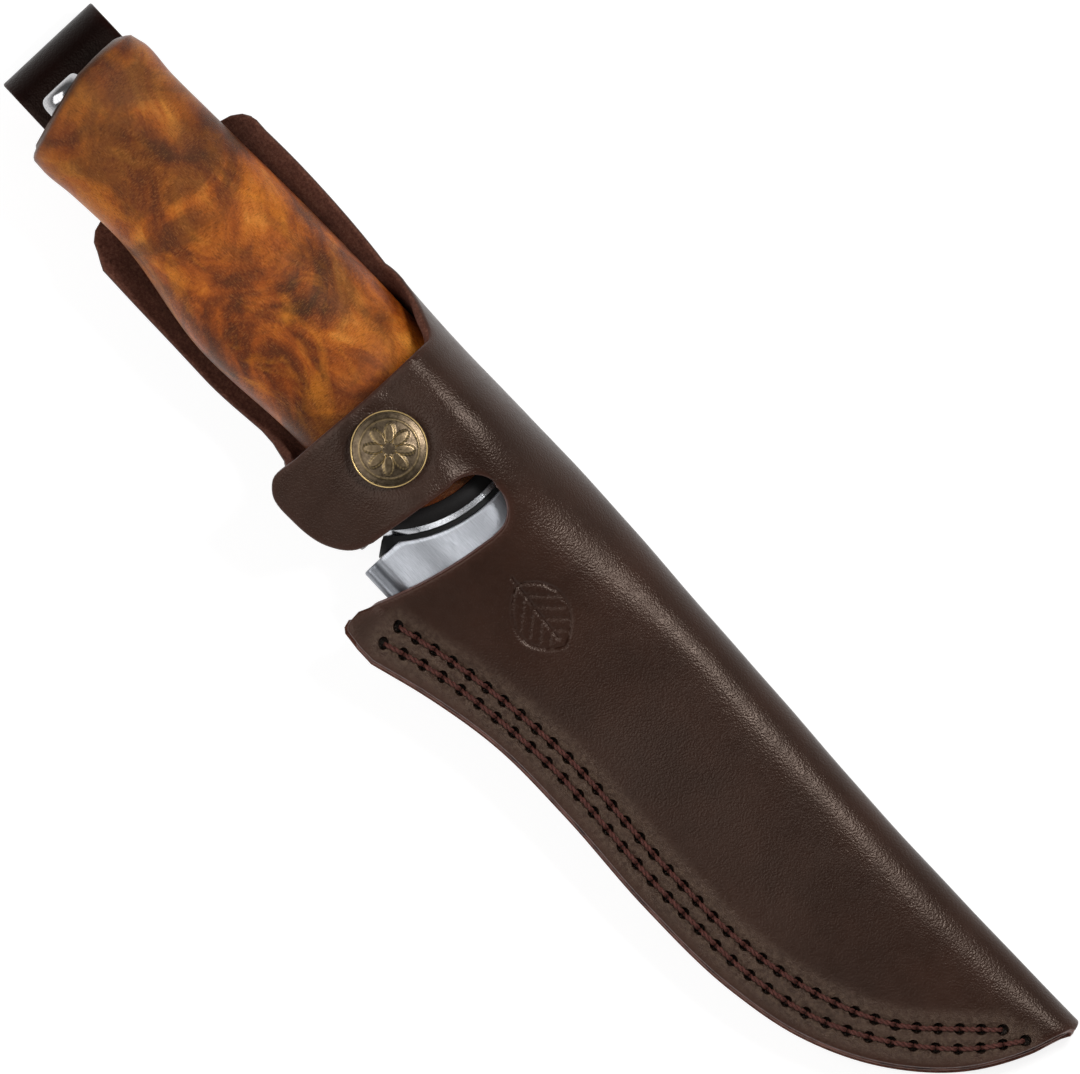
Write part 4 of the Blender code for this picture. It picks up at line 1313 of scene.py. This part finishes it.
def make_spacers():
    """Thick black, thin bright and thin black plates between handle and guard."""
    thick = face_x(24.6), face_x(28.05)
    bright = face_x(28.1), face_x(29.3)
    make_plate("spacer_black_leather", "spacer_leather", *thick, SPACER_LEATHER, "spacer_leather")
    make_plate("spacer_polished", "spacer_bright", *bright, SPACER_METAL, "spacer_metal")
    make_plate(
        "spacer_black_fibre", "guard_spacer_black", fibre_back, lambda y: guard_back(y) - 0.05,
        SPACER_FIBRE, "spacer_fibre", lip=3.6,
    )


def make_guard():
    """The finger guard, lofted along the knife from its back to its front."""
    side = np.concatenate([smooth_line(GUARD_SIDE, 46), smooth_line(GUARD_FOOT, 18)])
    outline = np.concatenate([side, side[1:-1][::-1] * (1, -1)])
    middle = np.array((-1.0, 0.0))
    from_middle = outline - middle
    reach = np.linalg.norm(from_middle, axis=1)[:, None]

    def ring(scale, face, push=0.0):
        drawn = middle + from_middle * scale
        return np.column_stack([face(drawn[:, 0]) + push, drawn])

    rings = [ring(scale, guard_back) for scale in (0.05, 0.3, 0.55, 0.8, 0.93)]
    rings += [ring(1 - inwards / reach, guard_back, push) for inwards, push in GUARD_BACK_EDGE]
    back, front = guard_back(outline[:, 0]), guard_front(outline[:, 0])
    rings += [np.column_stack([back + (front - back) * share, outline]) for share in np.linspace(0.1, 0.9, 9)]
    rings += [ring(1 - inwards / reach, guard_front, push) for inwards, push in GUARD_FRONT_EDGE]
    rings += [ring(scale, guard_front) for scale in (0.9, 0.7, 0.4, 0.05)]
    y = loft(rings)[0][:, 1]
    # painted shade: dark in the hollow across the foot, less dark over the end below it
    dark = 0.8 * peak(y + 22.3, 0.95) + 0.4 * step((-22.6 - y) / 0.8)  # the hollow across the foot
    masks = {"dark": np.minimum(dark, 0.85)}
    add_body("finger_guard", rings, GUARD_STEEL, "knife", ("guard",), masks, sharp=38)


def make_blade():
    """Blade and tang in one, with the grind's height kept for the lamination line."""
    grind, thick = 7.5, 1.5
    rings, grind_heights = [], []

    def section(x, low, high, edge_half, shoulder):
        half_way = (shoulder + low) / 2
        between = (thick + edge_half) / 2
        rows = [
            (low, 0, 1.0), (low + 0.02, edge_half, 1.0), (half_way, between, 0.5), (shoulder, thick, 0.0),
            (high - 0.35, thick, 0.0), (high, thick - 0.35, 0.0), (high, -thick + 0.35, 0.0),
            (high - 0.35, -thick, 0.0), (shoulder, -thick, 0.0), (half_way, -between, 0.5),
            (low + 0.02, -edge_half, 1.0),
        ]
        rings.append(np.array([(x, y, z) for y, z, _ in rows]))
        grind_heights.append([m for _, _, m in rows])

    for x, low, high in ((-89.6, -4.6, -0.8), (-84, -4.6, -0.8), (-80, -5.0, 3.0), (41.0, -5.0, 3.0)):
        section(x, low, high, thick - 0.1, (low + high) / 2)
    to_tip = 150 + 27 * np.sin(np.linspace(0.02, np.pi / 2, 40))
    for x in np.concatenate([[41.1, 42.0], np.linspace(43.5, 150, 60), to_tip]):
        low, high = float(along(BLADE_EDGE, x)), float(along(BLADE_SPINE, x))
        plunge = step((x - 42.0) / 5)
        edge_half = thick - (thick - 0.06) * plunge
        section(x, low, max(high, low + 0.2), edge_half, min(low + grind, (low + high) / 2 + 0.5))
    masks = {"grind": np.concatenate([*grind_heights, [0, 0]])}
    add_body("knife_blade", rings, BLADE_STEEL, "knife", ("blade",), masks, sharp=16)


def make_tang_washer():
    """A dished oval washer with the tang's end riveted over inside it."""
    turns = full_turn(64)

    def oval(wide, tall, x):
        return np.stack([0 * turns + x, WASHER_MIDDLE + wide * np.cos(turns), tall * np.sin(turns)], axis=1)

    quarter = np.radians(np.arange(0, 91, 11.25))
    rounded = [(-1.5 + 1.5 * math.cos(a), -88.9 - 2.35 * math.sin(a)) for a in quarter]
    profile = [
        (-3.6, -87.4), (-0.1, -87.4), (0, -87.5), (0, -88.7), *rounded, (-1.8, -91.1), (-2.0, -90.6),
        (-2.3, -89.6), (-3.6, -89.4),
    ]
    dome = [(0.1, -88.7), (1.7, -88.7), (1.8, -89.4), (1.5, -89.9), (0.9, -90.2), (0.1, -90.3)]
    washer = [oval(WASHER_HALF[0] + grow, WASHER_HALF[1] + grow, x) for grow, x in profile]
    rivet = [oval(radius, radius, x) for radius, x in dome]
    add_body("butt_washer", washer, WASHER_STEEL, "knife", ("tang_washer",))
    add_body("butt_rivet", rivet, WASHER_STEEL, "knife", ())


# ---- The studio


def add_light(name, place, target, size, power):
    """A rectangular light; place and target are in the knife's frame."""
    light = bpy.data.lights.new(name, "AREA")
    light.shape = "RECTANGLE"
    light.size, light.size_y = size
    light.energy = power
    start, end = (Vector(point) for point in world([place, target]))
    obj = link_object(name, light)
    obj.location = start
    obj.rotation_euler = (end - start).to_track_quat("-Z", "Y").to_euler()


def make_floor():
    """A pale floor that glows a little, so that it stays even to its far edges."""
    half, height, grey = 6.0, -0.0003, 0.38
    mesh = bpy.data.meshes.new("floor")
    corners = [(-half, -half, height), (half, -half, height), (half, half, height), (-half, half, height)]
    mesh.from_pydata(corners, [], [(0, 1, 2, 3)])
    shade = Shade("floor_pale", roughness=0.9, specular=0.1)
    glow = [("Emission Color", (1, 1, 1, 1)), ("Emission Strength", 0.8)]
    shade.feed(shade.shader, [("Base Color", (grey, grey, grey, 1)), *glow])
    mesh.materials.append(shade.material)
    link_object("floor", mesh)


def make_world(horizon, zenith):
    """A studio that is bright low down and dim overhead, given as two greys."""
    world_shader = bpy.data.worlds.new("studio")
    world_shader.use_nodes = True
    nodes, links = world_shader.node_tree.nodes, world_shader.node_tree.links
    direction = nodes.new("ShaderNodeTexCoord").outputs["Generated"]
    split = nodes.new("ShaderNodeSeparateXYZ")
    ramp = nodes.new("ShaderNodeValToRGB")
    links.new(direction, split.inputs[0])
    links.new(split.outputs["Z"], ramp.inputs["Fac"])
    links.new(ramp.outputs["Color"], nodes["Background"].inputs["Color"])
    low, high = ramp.color_ramp.elements
    low.position, low.color = 0.12, (horizon, horizon, horizon, 1)
    high.position, high.color = 0.62, (zenith, zenith, zenith, 1)
    nodes["Background"].inputs["Strength"].default_value = 1.0
    bpy.context.scene.world = world_shader


def light_scene():
    """One small strong light for the band along the fold, one wide weak one for the rest."""
    bpy.context.scene.view_settings.view_transform = "Standard"
    make_world(0.85, 0.13)
    add_light("strip_fold_side", (80, 250, 480), (80, 0, 0), (0.16, 0.1), 1.75)
    add_light("soft_top", (-380, -520, 1000), (30, 0, 0), (0.9, 0.9), 6)


VIEW_MIDDLE = (45.5, 6.56)


def add_camera():
    """Square above the knife, as in a catalogue: it looks straight down on the front of the sheath."""
    camera = bpy.data.cameras.new("camera")
    camera.sensor_width = 36
    camera.lens = 900
    width = 224.1  # of the view at the knife, in millimetres
    distance = camera.lens * width / camera.sensor_width
    right = Vector((0.683, 0.730, 0)).normalized()
    up = Vector((-0.730, 0.683, 0)).normalized()
    turn = Matrix(K_TURN.tolist()) @ Matrix((right, up, (0, 0, 1))).transposed()
    place = Vector(world([(*VIEW_MIDDLE, distance)])[0])
    obj = link_object("camera", camera)
    obj.matrix_world = Matrix.Translation(place) @ turn.to_4x4()
    camera.clip_start, camera.clip_end = 0.05, 20
    bpy.context.scene.camera = obj


def main():
    make_sheath()
    make_welt()
    make_seams()
    make_strap()
    make_belt_loop()
    make_loop_stitches()
    make_snap()
    make_handle()
    make_spacers()
    make_guard()
    make_blade()
    make_tang_washer()
    make_floor()
    light_scene()
    add_camera()


main()
